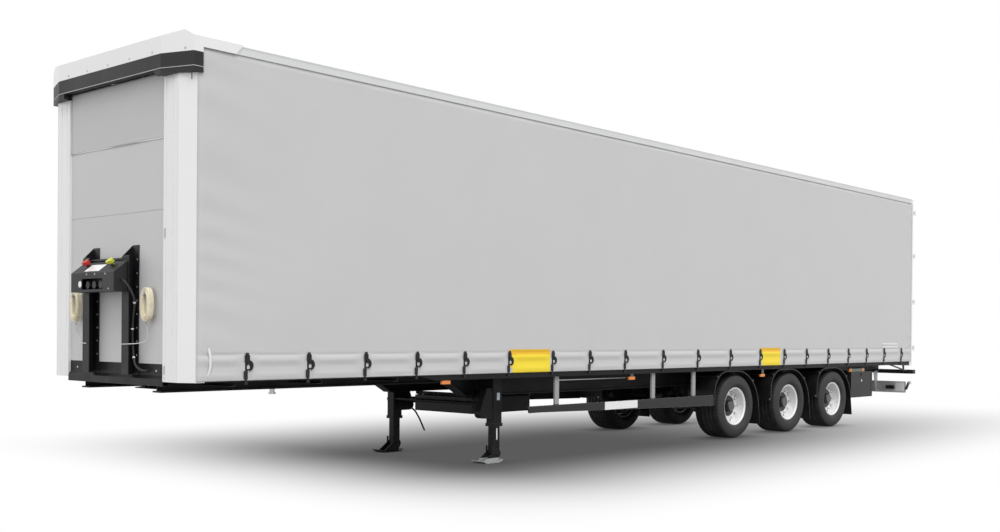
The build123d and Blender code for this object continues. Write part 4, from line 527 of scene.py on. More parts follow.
def paint_over(material, mask_output, colour):
    """Lays a colour over what a material already shows, where the mask is 1."""
    tree = material.node_tree
    shader = tree.nodes["Principled BSDF"]
    over = add_node(tree, "ShaderNodeMix", data_type="RGBA")
    over.inputs[7].default_value = (*colour, 1)
    old = shader.inputs["Base Color"].links[0].from_socket
    tree.links.new(mask_output, over.inputs["Factor"])
    tree.links.new(old, over.inputs[6])
    tree.links.new(over.outputs[2], shader.inputs["Base Color"])


def paint_rectangles(material, colour, rectangles, group=side_rectangle):
    """Lays a colour over a material inside (low, high, low z, high z) rectangles of its Object coordinates."""
    for limits in rectangles:
        mask = add_node(material.node_tree, "ShaderNodeGroup", node_tree=group, label="patch")
        for socket, value in zip(mask.inputs, limits):
            socket.default_value = value
        paint_over(material, mask.outputs["Mask"], colour)
    return material


# %% Group: a disc round the nearest of three wheel centres
hubs, hubs_in, hubs_out = new_group(
    "wheel_discs",
    [("First", VECTOR, (0, 0, 0)), ("Second", VECTOR, (0, 0, 0)), ("Third", VECTOR, (0, 0, 0)),
     ("Radius", FLOAT, 0.13), ("Softness", FLOAT, 0.004)],
    [("Mask", FLOAT)])
place = hubs.nodes.new("ShaderNodeTexCoord")
flattened = add_node(hubs, "ShaderNodeVectorMath", operation="MULTIPLY", inputs={1: (1, 0, 1)})
hubs.links.new(place.outputs["Object"], flattened.inputs[0])
nearest = None
for label in ("First", "Second", "Third"):
    away = add_node(hubs, "ShaderNodeVectorMath", operation="DISTANCE")
    hubs.links.new(flattened.outputs[0], away.inputs[0])
    hubs.links.new(hubs_in.outputs[label], away.inputs[1])
    if nearest is None:
        nearest = away.outputs["Value"]
    else:
        least = add_node(hubs, "ShaderNodeMath", operation="MINIMUM")
        hubs.links.new(nearest, least.inputs[0])
        hubs.links.new(away.outputs["Value"], least.inputs[1])
        nearest = least.outputs[0]
inside_by = add_node(hubs, "ShaderNodeMath", operation="SUBTRACT")
softened = add_node(hubs, "ShaderNodeMath", operation="DIVIDE", use_clamp=True)
hubs.links.new(hubs_in.outputs["Radius"], inside_by.inputs[0])
hubs.links.new(nearest, inside_by.inputs[1])
hubs.links.new(inside_by.outputs[0], softened.inputs[0])
hubs.links.new(hubs_in.outputs["Softness"], softened.inputs[1])
hubs.links.new(softened.outputs[0], hubs_out.inputs["Mask"])

# %% The curtain's cloth with its two yellow lifting marks
curtain_marked = make_material("curtain_marked", (0.60, 0.60, 0.603), 0.48, drift=0.018, drift_scale=0.8,
                               spread=0.05, grain_scale=180, grain_depth=0.05, threads=400, thread_depth=0.16,
                               sheen=0.05)
yellow_marks = [(along(4.320), along(3.690)), (along(9.200), along(8.650))]
paint_rectangles(curtain_marked, (0.98, 0.76, 0.030), [(low, high, 1.00, 1.208) for low, high in yellow_marks])
# Painted shade: each mark's band above the groove, from 1.208 to 1.268 m, is painted a darker orange.
paint_rectangles(curtain_marked, (0.86, 0.50, 0.010), [(low, high, 1.208, 1.268) for low, high in yellow_marks])

# %% Two tones on one piece: hubs, feet, guard posts, couplings and lamps, and painted light and shade on the wheels
wheel_middles = [(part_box(f"rim_{n}_left")[0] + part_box(f"rim_{n}_left")[1]) / 2 for n in (1, 2, 3)]
# (low y, high y, low z, high z) of the space between the wheels' outer faces, where rims and tyres get painted
# shade
shaded_between_wheels = [(-0.93, 0.93, 0.0, 1.0)]


def paint_disc(material, label, radius, colour):
    """Lays a colour over a material within a radius of the nearest wheel's axle."""
    disc = add_node(material.node_tree, "ShaderNodeGroup", node_tree=hubs, label=label)
    for socket, middle in zip(("First", "Second", "Third"), wheel_middles):
        disc.inputs[socket].default_value = (middle.x, 0, middle.z)
    disc.inputs["Radius"].default_value = radius
    paint_over(material, disc.outputs["Mask"], colour)


paint_disc(wheel_metal, "hub", 0.146, (0.022, 0.023, 0.025))
paint_disc(wheel_metal, "cap", 0.070, (0.10, 0.102, 0.106))
# Painted shade: the rims' faces between the wheels' outer faces are painted dark.
paint_rectangles(wheel_metal, (0.04, 0.04, 0.042), shaded_between_wheels, front_rectangle)
# Painted light and shade: the tyres' outer sidewalls are painted lighter than the tread, and their inner sides
# darker again.
paint_disc(tyre_rubber, "sidewall", 0.431, (0.040, 0.040, 0.041))
paint_rectangles(tyre_rubber, (0.010, 0.010, 0.0105), shaded_between_wheels, front_rectangle)

leg_paint = make_material("leg_paint", edge_colour=(0.16, 0.16, 0.165), edge_amount=0.8, **satin_black)
paint_rectangles(leg_paint, (0.38, 0.385, 0.39), [(0.70, 1.10, 0.0, 0.05)], front_rectangle)

# Its bright edges are a painted highlight: the light line along the rail.
guard_paint = make_material("guard_paint", (0.024, 0.024, 0.026), 0.4, drift=0.08, spread=0.05, grain_scale=400,
                            grain_depth=0.12, edge_colour=(0.42, 0.42, 0.43), edge_amount=0.95, edge_width=0.006,
                            specular=0.3)
paint_rectangles(guard_paint, (0.36, 0.365, 0.37), [(-9.0, 9.0, 0.633, 1.0)])

coupling_paint = make_material("coupling_paint", (0.016, 0.016, 0.018), 0.42, drift=0.1, spread=0.06,
                               grain_scale=420, grain_depth=0.12, edge_colour=(0.10, 0.10, 0.105), edge_amount=0.5,
                               specular=0.3)
cap_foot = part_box("couplings")[1].z - 0.060
paint_rectangles(coupling_paint, (0.50, 0.025, 0.02), [(-0.40, -0.10, cap_foot, 3.0)], front_rectangle)
paint_rectangles(coupling_paint, (0.62, 0.66, 0.06), [(0.10, 0.40, cap_foot, 3.0)], front_rectangle)

marker_tops = [(2.810, 0.948), (5.800, 0.918), (8.755, 0.886)]
paint_rectangles(amber_lens, (0.014, 0.014, 0.015), [(along(s + 0.10), along(s - 0.10), top + 0.001, 1.1)
                                                    for s, top in marker_tops])
lamp_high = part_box("rear_lamps")[1]
lamp_lens = make_material("lamp_lens", lens_red, **clear_lens)
for sign in (1, -1):
    outer, inner = sorted((sign * 1.065, sign * 0.965)), sorted((sign * 0.700, sign * 0.765))
    paint_rectangles(lamp_lens, lens_amber, [(*outer, 0.0, 1.0)], front_rectangle)
    paint_rectangles(lamp_lens, (0.75, 0.75, 0.75), [(*inner, 0.0, 1.0)], front_rectangle)
    arm = sorted((sign * 1.13, sign * 1.30))
    paint_rectangles(lamp_lens, (0.02, 0.02, 0.02), [(*arm, 0.0, 1.0)], front_rectangle)
    bulb = sorted((sign * 1.222, sign * 1.30))
    paint_rectangles(lamp_lens, (0.62, 0.62, 0.62), [(*bulb, lamp_high.z - 0.052, 1.0)], front_rectangle)

rope_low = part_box("rope_coils")[0].z
paint_rectangles(rope_cover, (0.72, 0.72, 0.71), [(-0.9, 0.9, 1.0, rope_low - 0.010)], front_rectangle)

# %% Dress the CAD nodes whose shape stays
dress(chassis_paint, "main_beams", "cross_members", "side_rave_left", "side_rave_right", "rubbing_plate",
      "front_base_rail", "underslung_box", "axles")
dress(leg_paint, "landing_gear")
dress(floor_ply, "load_floor")
dress(bare_steel, "kingpin", "rope_hooks")
dress(wall_panel, "headboard")
dress(white_paint, "front_posts", "front_roof_cap", "rear_frame", "door_left", "door_right")
dress(dark_plastic, "front_top_trim", "coupling_box", "rear_buffers")
dress(stand_paint, "coupling_stand")
dress(coupling_paint, "couplings")
dress(rail_aluminium, "top_rail_left", "top_rail_right", "side_posts", "roof_bows")
dress(beam_aluminium, "underrun_beam")
dress(galvanised, "lock_gear_left", "lock_gear_right")
dress(guard_paint, "side_guards")
dress(front_cloth, "front_band")
dress(roof_cloth, "roof_sheet")
dress(buckle_steel, "tensioners_left", "tensioners_right")
dress(lamp_lens, "rear_lamps")
dress(amber_lens, "marker_lamps")
dress(bellows_rubber, "air_springs")
dress(black_plastic, "mudguards", "tool_box", "tool_box_lid")
for number in (1, 2, 3):
    for side in ("left", "right"):
        dress(tyre_rubber, f"tyre_{number}_{side}")
        dress(wheel_metal, f"rim_{number}_{side}")
print("materials", len(bpy.data.materials))


# %% [markdown]
# ## The cords
# Three cords show on the front wall: the black cable that leaves the coupling box and drops through the
# left channel, and on each side a long customs rope, wound into a hank on its hook with its tail drawn round
# the channel. Each is one smooth NURBS line guided by listed points, and the hank's turns are more guide
# points of the same line.


# %% A NURBS cord with a round section
def smooth_cord(name, points, diameter):
    """A curve object: one open NURBS spline of order 3 whose control points are the given places."""
    curve = bpy.data.curves.new(name, "CURVE")
    curve.dimensions = "3D"
    spline = curve.splines.new("NURBS")
    spline.points.add(len(points) - 1)
    spline.points.foreach_set("co", np.hstack([points, np.ones((len(points), 1))]).ravel())
    spline.order_u = 3
    spline.use_endpoint_u = True
    spline.resolution_u = 4
    curve.bevel_depth = diameter / 2
    curve.bevel_resolution = 3
    curve.use_fill_caps = True
    piece = bpy.data.objects.new(name, curve)
    bpy.context.scene.collection.objects.link(piece)
    return piece


def line_length(piece):
    """The length of the cord's own line, read from the curve with no thickness."""
    depth = piece.data.bevel_depth
    piece.data.bevel_depth = 0
    bpy.context.view_layer.update()
    line = bpy.data.meshes.new_from_object(piece.evaluated_get(bpy.context.evaluated_depsgraph_get()))
    places = np.array([v.co for v in line.vertices])
    bpy.data.meshes.remove(line)
    piece.data.bevel_depth = depth
    return float(np.linalg.norm(np.diff(places, axis=0), axis=1).sum())


# %% The cable in the left channel
cable_diameter = 0.018
cable_route = np.array([
    (-0.130, 0.3923, 1.880), (-0.130, 0.432, 1.880), (-0.112, 0.466, 1.842), (-0.078, 0.480, 1.782),
    (-0.044, 0.466, 1.718), (-0.028, 0.436, 1.650), (-0.024, 0.408, 1.570), (-0.026, 0.396, 1.440),
    (-0.024, 0.402, 1.320), (-0.026, 0.416, 1.238), (-0.034, 0.444, 1.176), (-0.042, 0.486, 1.130),
    (-0.034, 0.540, 1.100), (-0.012, 0.582, 1.088), (0.0217, 0.582, 1.088)])
cable_points = np.column_stack([along(cable_route[:, 0]), cable_route[:, 1], cable_route[:, 2]])
cable = smooth_cord("stand_cable_run", cable_points, cable_diameter)
cable_length = line_length(cable)
finish_piece(cable, cable_sheath, replaces=["stand_cable"])
print("cable", round(cable_length, 3), "m")

# %% The customs ropes: a tail round the channel, then a hank of neat turns
rope_diameter = 0.008
rope_pitch = 0.0086
hank_columns, hank_layers = 5, 6
points_per_turn = 16
tail_route = np.array([
    (-0.086, 0.326, 1.316), (-0.087, 0.372, 1.317), (-0.086, 0.418, 1.318), (-0.080, 0.462, 1.320),
    (-0.064, 0.504, 1.322), (-0.044, 0.546, 1.326), (-0.022, 0.584, 1.336), (-0.010, 0.616, 1.356),
    (-0.012, 0.636, 1.388), (-0.022, 0.645, 1.426), (-0.029, 0.649, 1.470)])
hank_low, hank_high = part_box("rope_coils")
hank_height = hank_high.z - hank_low.z
hank_middle = (hank_low.z + hank_high.z) / 2
hank_centre_x = (hank_low.x + hank_high.x) / 2
hank_centre_y, hank_width = 0.650, 0.165


def hank_turns(columns, layers):
    """Turns of a hank as (across, up, out) places. A turn is an upright oval whose half width and half height
    grow by a pitch with each layer, wound from the bottom. Across the layer it moves a pitch in the first
    quarter of a turn, and out to the next layer in the third, so that turns never cross."""
    turn = np.arange(columns * layers * points_per_turn) / points_per_turn
    whole, part = np.floor(turn), turn % 1
    depth_step = np.clip(part / 0.25, 0, 1)
    layer_step = np.clip((part - 0.5) / 0.25, 0, 1)
    layer, place = whole // columns, whole % columns
    forward_layer = layer % 2 == 0
    last = place == columns - 1
    before = np.where(place == 0, 0, place - 1 + depth_step)
    depth = np.where(forward_layer, before, columns - 1 - before)
    out = layer + np.where(last, layer_step, 0)
    outer = hank_width / 2 - rope_diameter / 2
    half_width = outer - (layers - 1 - np.clip(out, 0, layers - 1)) * rope_pitch
    straight = (hank_height - hank_width) / 2
    angle = -np.pi / 2 + 2 * np.pi * part
    across = half_width * np.cos(angle)
    rise = half_width * np.sin(angle) + straight * np.tanh(2.2 * np.sin(angle))
    return across, rise, (depth - (columns - 1) / 2) * rope_pitch


hank_across, hank_up, hank_out = hank_turns(hank_columns, hank_layers)
ferrule_profile = [(-0.012, 0.0041), (-0.012, 0.0058), (0.006, 0.0058), (0.012, 0.004), (0.012, 0.0001)]
loose_end = np.array([[0.012, 0.016, -0.016], [0.022, 0.034, -0.034]])
for side, sign in (("left", 1), ("right", -1)):
    tail = np.column_stack([along(tail_route[:, 0]), sign * tail_route[:, 1], tail_route[:, 2]])
    hank = np.column_stack([hank_centre_x + hank_out, sign * (hank_centre_y + hank_across), hank_middle + hank_up])
    peel = np.column_stack([hank[-1, 0] + loose_end[:, 0], hank[-1, 1] + sign * loose_end[:, 1],
                            hank[-1, 2] + loose_end[:, 2]])
    rope_points = np.vstack([tail, hank, peel])
    rope = smooth_cord(f"customs_rope_{side}", rope_points, rope_diameter)
    rope.data.bevel_resolution = 1
    rope_length = line_length(rope)
    finish_piece(rope, rope_cover, replaces=["rope_coils", "rope_tails"])
    ferrule_run = rope_points[-1] - rope_points[-2]
    ferrule_run /= np.linalg.norm(ferrule_run)
    ferrule_side = np.cross(ferrule_run, [1.0, 0.0, 0.0])
    ferrule_side /= np.linalg.norm(ferrule_side)
    ferrule_points, ferrule_faces = lathe(ferrule_profile, 16)
    ferrule_turn = np.column_stack([ferrule_side, ferrule_run, np.cross(ferrule_side, ferrule_run)])
    ferrule = make_object(f"rope_ferrule_{side}", ferrule_points @ ferrule_turn.T + rope_points[-1], ferrule_faces)
    finish_piece(ferrule, bare_steel)
    print("rope", side, round(rope_length, 2), "m in", hank_columns * hank_layers, "turns")

# %% [markdown]
# ## The curtains
# Each side is one coated cloth, 13.5 m long, hung from rollers in the roof rail and pulled down by a strap
# every 0.6 m. Where a strap pulls, the cloth lies flat against the rave, and between the straps it bellies
# out. A pocket along the foot makes a groove with a soft roll under it. So the surface is a flat sheet plus
# a few reliefs, each a simple function of the setback and the height.

# %% Curtain relief
buckle_setbacks = np.array([0.540, 1.160, 1.790, 2.410, 3.040, 3.680, 4.360, 4.990, 5.640, 6.390,
                            7.140, 7.900, 8.650, 9.300, 9.940, 10.600, 11.250, 11.870, 12.500, 13.150])
curtain_low, curtain_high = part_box("curtain_left")
curtain_front, curtain_rear = wall_x - curtain_high.x, wall_x - curtain_low.x
curtain_bottom, curtain_top = curtain_low.z, curtain_high.z
cloth_face = curtain_high.y - 0.0008
cloth_thickness = 0.0012
groove_z = 1.232


def thicken(cloth):
    """Gives a cloth its thickness, as a live modifier, on the side that its mesh's normals turn their back to:
    inwards on the curtains, and upwards and forwards on the roof and the front band."""
    wall = cloth.modifiers.new("cloth", "SOLIDIFY")
    wall.thickness = cloth_thickness
    wall.offset = -1


def hump(value, centre, width):
    """A smooth bump of height 1 at the centre, gone a few widths away."""
    return np.exp(-((value - centre) / width) ** 2)


def curtain_relief(setback, z):
    """How far the cloth stands out from its flat plane, in metres, at each setback and height."""
    nearest = np.abs(setback[..., None] - buckle_setbacks).min(axis=-1)
    free = np.clip(nearest / 0.16, 0, 1)
    free = free * free * (3 - 2 * free)
    foot = -0.0045 * hump(z, groove_z, 0.012) * (0.35 + 0.65 * free)
    foot += (0.0075 * hump(z, 1.185, 0.030) + 0.0045 * hump(z, 1.055, 0.028)) * free
    foot += -0.0015 * hump(z, 1.128, 0.02) * free
    pull = -0.003 * np.exp(-((z - 1.24) / 0.22) ** 2) * (1 - free) * (z > groove_z)
    rollers = 0.0016 * np.sin(2 * np.pi * setback / 0.62) * np.exp(-(curtain_top - z) / 0.35)
    broad = 0.0016 * np.sin(setback * 1.7 + 0.8 * np.sin(z * 1.3)) * np.sin(z * 1.1 + 0.5)
    broad += 0.0009 * np.sin(setback * 4.3 + 1.9 * z) * np.exp(-((z - 1.6) / 0.5) ** 2)
    front = 1.6 * np.exp(-np.maximum(setback - curtain_front, 0) / 0.32)
    rear = np.exp(-np.maximum(curtain_rear - setback, 0) / 0.20)
    fold = np.sin(z * 21 + 3 * np.sin(z * 3.1) + 5 * setback)
    creases = 0.0030 * np.sign(fold) * np.abs(fold) ** 0.6 * (front + rear) * (z > 1.25)
    corner = 0.007 * np.sin((z - setback * 0.55) * 38) * rear * np.exp(-((z - 1.4) / 0.3) ** 2)
    edge = np.clip(np.minimum(setback - curtain_front, curtain_rear - setback) / 0.03, 0, 1)
    edge *= np.clip((z - curtain_bottom) / 0.012, 0, 1) * np.clip((curtain_top - z) / 0.05, 0, 1)
    return (foot + pull + rollers + broad + creases + corner) * edge


# %% Curtain meshes
foot_rows = np.linspace(curtain_bottom, 1.30, 34)
wall_rows = np.linspace(1.30, curtain_top, 52)[1:]
curtain_z = np.concatenate([foot_rows, wall_rows])
near_buckles = (buckle_setbacks[:, None] + np.linspace(-0.15, 0.15, 9)).ravel()
curtain_s = np.unique(np.round(np.concatenate([np.linspace(curtain_front, curtain_rear, 230), near_buckles]), 4))
grid_s, grid_z = np.meshgrid(curtain_s, curtain_z, indexing="ij")
for side, sign in (("left", 1), ("right", -1)):
    out = np.minimum(cloth_face + curtain_relief(grid_s, grid_z), cloth_face + 0.012)
    points = np.stack([along(grid_s), sign * out, grid_z], axis=-1)
    faces = grid_faces(len(curtain_s), len(curtain_z))
    cloth = make_object(f"curtain_cloth_{side}", points, faces if sign < 0 else faces[:, ::-1])
    thicken(cloth)
    finish_piece(cloth, curtain_marked, replaces=[f"curtain_{side}"])
    print("curtain", side, len(faces), "quads")


# %% [markdown]
# ## Wheels
# The CAD wheel carries the sizes; the tyre's look is its tread. One section, from bead to bead, is turned
# round the axle in 240 steps. Four grooves run round the tread and waver a little, and the shoulders are cut
# by short notches, so each point's place is the section plus two simple waves of the angle.


# %% Turning a shape's faces outwards
def turned_out(points, faces):
    """All faces of a shape, reversed if its signed volume, a sum of p0 . (p1 x p2) / 6, is negative. It turns
    the whole shape at once, so it can't see an end cap that is wound against its sides, and a triangle that
    it reverses has its repeated point first, where make_object doesn't look for it."""
    points = np.asarray(points, float)
    first, second, third = points[faces[:, 0]], points[faces[:, 1]], points[faces[:, 2]]
    volume = np.einsum("ij,ij->", first, np.cross(second, third))
    volume += np.einsum("ij,ij->", first, np.cross(third, points[faces[:, 3]]))
    return faces if volume > 0 else faces[:, ::-1]


def surface_place(node_name, start, direction):
    """Where a line from start meets a CAD node, and the surface's normal there, both in the frame's axes."""
    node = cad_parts[node_name]
    into = node.matrix_world.inverted()
    hit, place, normal, _ = node.ray_cast(into @ Vector(start), into.to_3x3() @ Vector(direction))
    if not hit:
        raise ValueError(f"no surface of {node_name} from {start}")
    return np.array(node.matrix_world @ place), np.array((node.matrix_world.to_3x3() @ normal).normalized())


# %% Tyre section and tread
tyre_low, tyre_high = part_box("tyre_1_left")
tyre_radius = (tyre_high.z - tyre_low.z) / 2
axle_z = (tyre_high.z + tyre_low.z) / 2
tyre_half = (tyre_high.y - tyre_low.y) / 2
tread_steps = 240
# (across, down from the tread, waver share, notch share), from the middle out to the shoulder
tread_half = [(0.0000, 0.0000, 0, 0), (0.0290, 0.0001, 1, 0), (0.0300, 0.0120, 1, 0), (0.0400, 0.0120, 1, 0),
              (0.0410, 0.0002, 1, 0), (0.0900, 0.0008, 1, 0), (0.0910, 0.0125, 1, 0), (0.1010, 0.0125, 1, 0),
              (0.1020, 0.0010, 1, 0), (0.1380, 0.0020, 0, 0), (0.1440, 0.0022, 0, 1), (0.1640, 0.0038, 0, 1),
              (0.1780, 0.0075, 0, 1), (0.1880, 0.0140, 0, 0.7)]
# (across, radius) down the sidewall to the bead, then across the seat to the middle
side_half = [(0.1960, 0.4260), (0.2015, 0.4200), (0.2030, 0.4170), (0.2080, 0.4080), (0.2140, 0.3940),
             (0.2178, 0.3800), (0.2182, 0.3770), (0.2205, 0.3660), (0.2222, 0.3480), (0.2225, 0.3350),
             (0.2216, 0.3200), (0.2190, 0.3070), (0.2172, 0.3040), (0.2160, 0.3010), (0.2100, 0.2900),
             (0.2030, 0.2810), (0.1960, 0.2740), (0.1880, 0.2700), (0.1860, 0.2655), (0.1735, 0.2655),
             (0.1735, 0.2485), (0.1500, 0.2485)]
outer_half = [(across, tyre_radius - down, waver, notch) for across, down, waver, notch in tread_half]
outer_half += [(across * tyre_half / 0.2225, radius, 0, 0) for across, radius in side_half]
section = np.array([(-a, r, w, n) for a, r, w, n in outer_half[:0:-1]] + outer_half)
step_number = np.arange(tread_steps)
waver = 0.0035 * (2 * np.abs((step_number / 4) % 1 * 2 - 1) - 1)
notch = np.where(step_number % 4 == 0, 0.009, 0.0)
ring_across = section[:, 0][:, None] + section[:, 2][:, None] * waver[None, :] * np.sign(section[:, 0])[:, None]
ring_radius = section[:, 1][:, None] - section[:, 3][:, None] * notch[None, :]
ring_angle = 2 * np.pi * step_number[None, :] / tread_steps
tyre_points = np.stack([ring_radius * np.cos(ring_angle), ring_across, ring_radius * np.sin(ring_angle)], axis=-1)
tyre_points = tyre_points.reshape(-1, 3)
tyre_faces = turned_out(tyre_points, grid_faces(len(section), tread_steps, close_rows=True, close_columns=True))
for number in (1, 2, 3):
    for side, sign in (("left", 1), ("right", -1)):
        low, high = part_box(f"tyre_{number}_{side}")
        centre = np.array([(low.x + high.x) / 2, (low.y + high.y) / 2, axle_z])
        tyre = make_object(f"road_tyre_{number}_{side}", tyre_points + centre, tyre_faces)
        finish_piece(tyre, tyre_rubber, body=f"wheel_{number}_{side}", replaces=[f"tyre_{number}_{side}"])
print("tyre", len(tyre_faces), "quads, radius", round(tyre_radius, 3))

# %% [markdown]
# ## Cloth on the roof and the front wall
# The roof is one coated sheet over twelve bows: it stands on each bow and sags a few millimetres between
# them. The band across the top of the front wall is a short piece of the same cloth, stretched between the
# posts, with a white piping along its foot.

# %% Roof sheet over the bows
roof_low, roof_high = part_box("roof_sheet")
roof_half = roof_high.y
roof_front, roof_rear = wall_x - roof_high.x, wall_x - roof_low.x
cap_rear = wall_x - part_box("front_roof_cap")[0].x
bow_front, bow_rear = (wall_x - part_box("roof_bows")[i].x for i in (1, 0))
bow_count = 12
bow_pitch = (bow_rear - bow_front) / (bow_count - 1)
roof_s = np.linspace(roof_front, roof_rear, bow_count * 16)
roof_y = np.linspace(-roof_half, roof_half, 49)
sheet_s, sheet_y = np.meshgrid(roof_s, roof_y, indexing="ij")
crown = roof_high.z - roof_low.z


def sheet_top(y):
    """The height of the roof sheet's crown curve, a parabola across the trailer, where the sheet doesn't sag.
    The mesh lies on it, and the cloth's thickness above it."""
    return roof_high.z - 0.0005 - (crown - 0.006) * (y / roof_half) ** 2


between = 0.5 - 0.5 * np.cos(2 * np.pi * (sheet_s - bow_front) / bow_pitch)
held = 1 - np.clip(np.abs(sheet_y) / roof_half, 0, 1) ** 6
sag = 0.004 * between * held * np.clip((sheet_s - cap_rear) / 0.3, 0, 1)
sheet_z = sheet_top(sheet_y) - sag
roof_faces = grid_faces(len(roof_s), len(roof_y))
roof = make_object("roof_cloth_sheet", np.stack([along(sheet_s), sheet_y, sheet_z], axis=-1), roof_faces[:, ::-1])
thicken(roof)
finish_piece(roof, roof_cloth, replaces=["roof_sheet"])

# %% Band on the front wall and its piping
band_low, band_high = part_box("front_band")
band_y = np.linspace(band_low.y, band_high.y, 60)
band_z = np.linspace(band_low.z, band_high.z, 30)
grid_y, grid_z = np.meshgrid(band_y, band_z, indexing="ij")
from_foot = grid_z - band_low.z
hem = -0.0016 * hump(from_foot, 0.052, 0.006)
slack = 0.0018 * np.sin(grid_y * 5.1 + 0.7) * np.exp(-from_foot / 0.12)
band_x = band_high.x - 0.0022 + hem + slack
band_faces = grid_faces(len(band_y), len(band_z))
band = make_object("front_band_cloth", np.stack([band_x, grid_y, grid_z], axis=-1), band_faces)
thicken(band)
finish_piece(band, front_cloth, replaces=["front_band"])
piping_shape = lathe([(band_low.y + 0.004, 0.0001), (band_low.y + 0.005, 0.0045), (band_high.y - 0.005, 0.0045),
                      (band_high.y - 0.004, 0.0001)], 12)
piping_points = piping_shape[0] + np.array([band_high.x - 0.0045, 0, band_low.z + 0.0045])
piping = make_object("front_band_piping", piping_points, turned_out(piping_points, piping_shape[1]))
finish_piece(piping, white_webbing)

# %% [markdown]
# ## Small things on the front wall
# Each is a few lines of the same three shapes: a turned head, a bevelled plate and a ribbon. Heads and plates
# are seated by casting a line onto the CAD surface, so that a rivet stands square on whatever face it meets.
# The pale strip that paints the trim's highlight, the clips, the stripes and the pull strap are placed by their
# own coordinates instead.


# %% Heads, plates and ribbons
def seated_turn(normal, upward=(0.0, 0.0, 1.0)):
    """A turn whose third axis is the normal and whose second axis lies as near upward as it can."""
    across = np.cross(upward, normal)
    across /= np.linalg.norm(across)
    return np.column_stack([across, np.cross(normal, across), normal])


def dome_head(radius, height, segments=12):
    """A rivet or bolt head on the z axis, from 0.3 mm inside its seat to its top."""
    points, faces = lathe([(-0.0003, 0.0001), (-0.0003, radius), (height * 0.45, radius * 0.93),
                           (height * 0.85, radius * 0.62), (height, 0.0001)], segments, axis="z")
    return points, turned_out(points, faces)


def seated(name, node_name, shape, starts, direction, material, body="chassis", upward=(0.0, 0.0, 1.0)):
    """Copies of one shape, each where a line from its start meets the node, turned to stand on the surface."""
    found = [surface_place(node_name, start, direction) for start in starts]
    turns = [seated_turn(normal, upward) for _, normal in found]
    points, faces = copies(shape, [place for place, _ in found], turns)
    return finish_piece(make_object(name, points, faces, smooth=False), material, body=body)


def plate_shape(width, height, thickness, bevel=0.0008):
    """A bevelled plate in its own plane: width across, height up, its back 0.3 mm inside its seat."""
    points, faces = soft_box((width, height, thickness), min(bevel, thickness / 3))
    return points + np.array([0, 0, thickness / 2 - 0.0003]), turned_out(points, faces)


def ribbon(line, across, width, thickness):
    """A flat strap: a rectangle of width by thickness carried along a line. Its ends are closed, but the two
    end faces are wound against the sides."""
    line = np.asarray(line, float)
    across = np.asarray(across, float) / np.linalg.norm(across)
    run = np.gradient(line, axis=0)
    run /= np.linalg.norm(run, axis=1)[:, None]
    outward = np.cross(run, across)
    corners = [(-0.5, -0.5), (0.5, -0.5), (0.5, 0.5), (-0.5, 0.5)]
    ring = np.stack([line + p * width * across + q * thickness * outward for p, q in corners], axis=1)
    faces = grid_faces(len(line), 4, close_columns=True)
    last = 4 * (len(line) - 1)
    ends = np.array([[0, 1, 2, 3], [last + 3, last + 2, last + 1, last]])
    points = ring.reshape(-1, 3)
    body_faces = turned_out(points, faces)
    flipped = not np.array_equal(body_faces, faces)
    ends = ends[:, ::-1] if flipped else ends
    probe = np.vstack([body_faces, ends])
    return points, turned_out(points, probe)


# %% A pale strip along the front trim's lower edge, a painted highlight
trim_low, trim_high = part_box("front_top_trim")
highlight_strip_z = trim_low.z + 0.049
highlight_strip_half = [(trim_high.x + 0.0005, 0.0), (trim_high.x + 0.0005, 0.60), (trim_high.x + 0.0005, 0.925)]
highlight_strip_half += [(along(0.033) + 0.001, trim_high.y + 0.0005), (along(0.117), trim_high.y + 0.0005)]
highlight_strip_line = np.array([(x, -y, highlight_strip_z) for x, y in highlight_strip_half[:0:-1]] + [(x, y, highlight_strip_z) for x, y in highlight_strip_half])
points, faces = ribbon(highlight_strip_line, (0.0, 0.0, 1.0), 0.0050, 0.0040)
finish_piece(make_object("trim_highlight_strip", points, faces, smooth=False), galvanised)

# %% Rivets on the cap, bolts down the channels and along the base rail
rivet_z = trim_high.z + 0.027
seated("cap_rivets", "front_roof_cap", dome_head(0.011, 0.005),
       [(cad_high.x + 1, y, rivet_z) for y in (-0.731, -0.366, 0.017, 0.403, 0.792, 1.186)], (-1, 0, 0),
       galvanised)
panel_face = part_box("headboard")[1].x
channel_bolts = [(panel_face + 0.04, sign * 0.36 + 0.032, z)
                 for sign in (1, -1) for z in np.arange(1.22, 2.06, 0.12)]
seated("channel_bolts", "coupling_stand", dome_head(0.0085, 0.005), channel_bolts, (-1, 0, 0),
       galvanised)
base_bolts = [(cad_high.x + 1, y, 1.09) for y in (-0.72, -0.48, 0.48, 0.72)]
seated("base_rail_bolts", "front_base_rail", dome_head(0.010, 0.006), base_bolts, (-1, 0, 0), bare_steel)

# %% Blank plates on the coupling box, the side guard and the landing leg
box_low, box_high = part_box("coupling_box")
seated("coupling_box_plate", "coupling_box", plate_shape(0.270, 0.094, 0.0016),
       [((box_low.x + box_high.x) / 2 + 0.006, -0.045, box_high.z + 1)], (0, 0, -1), white_paint)
seated("coupling_box_disc", "coupling_box", dome_head(0.030, 0.003, 24),
       [(box_high.x + 1, -0.225, 1.845)], (-1, 0, 0), white_paint)
seated("coupling_box_screws", "coupling_box", dome_head(0.008, 0.004),
       [(box_high.x + 1, y, z) for y in (-0.10, 0.05, 0.24) for z in (1.931,)] + [(box_high.x + 1, 0.30, 1.80)],
       (-1, 0, 0), galvanised)
seated("guard_plate", "side_guards", plate_shape(0.617, 0.096, 0.002),
       [(along(5.602), 3.0, 0.5775)], (0, -1, 0), white_paint)
strip_lens = make_material("strip_lens", lens_amber, 0.2, drift=0.03, spread=0.02, grain_depth=0.05, coat=0.5)
pale_plate = make_material("pale_plate", (0.55, 0.62, 0.68), 0.4, drift=0.02, grain_depth=0.05)
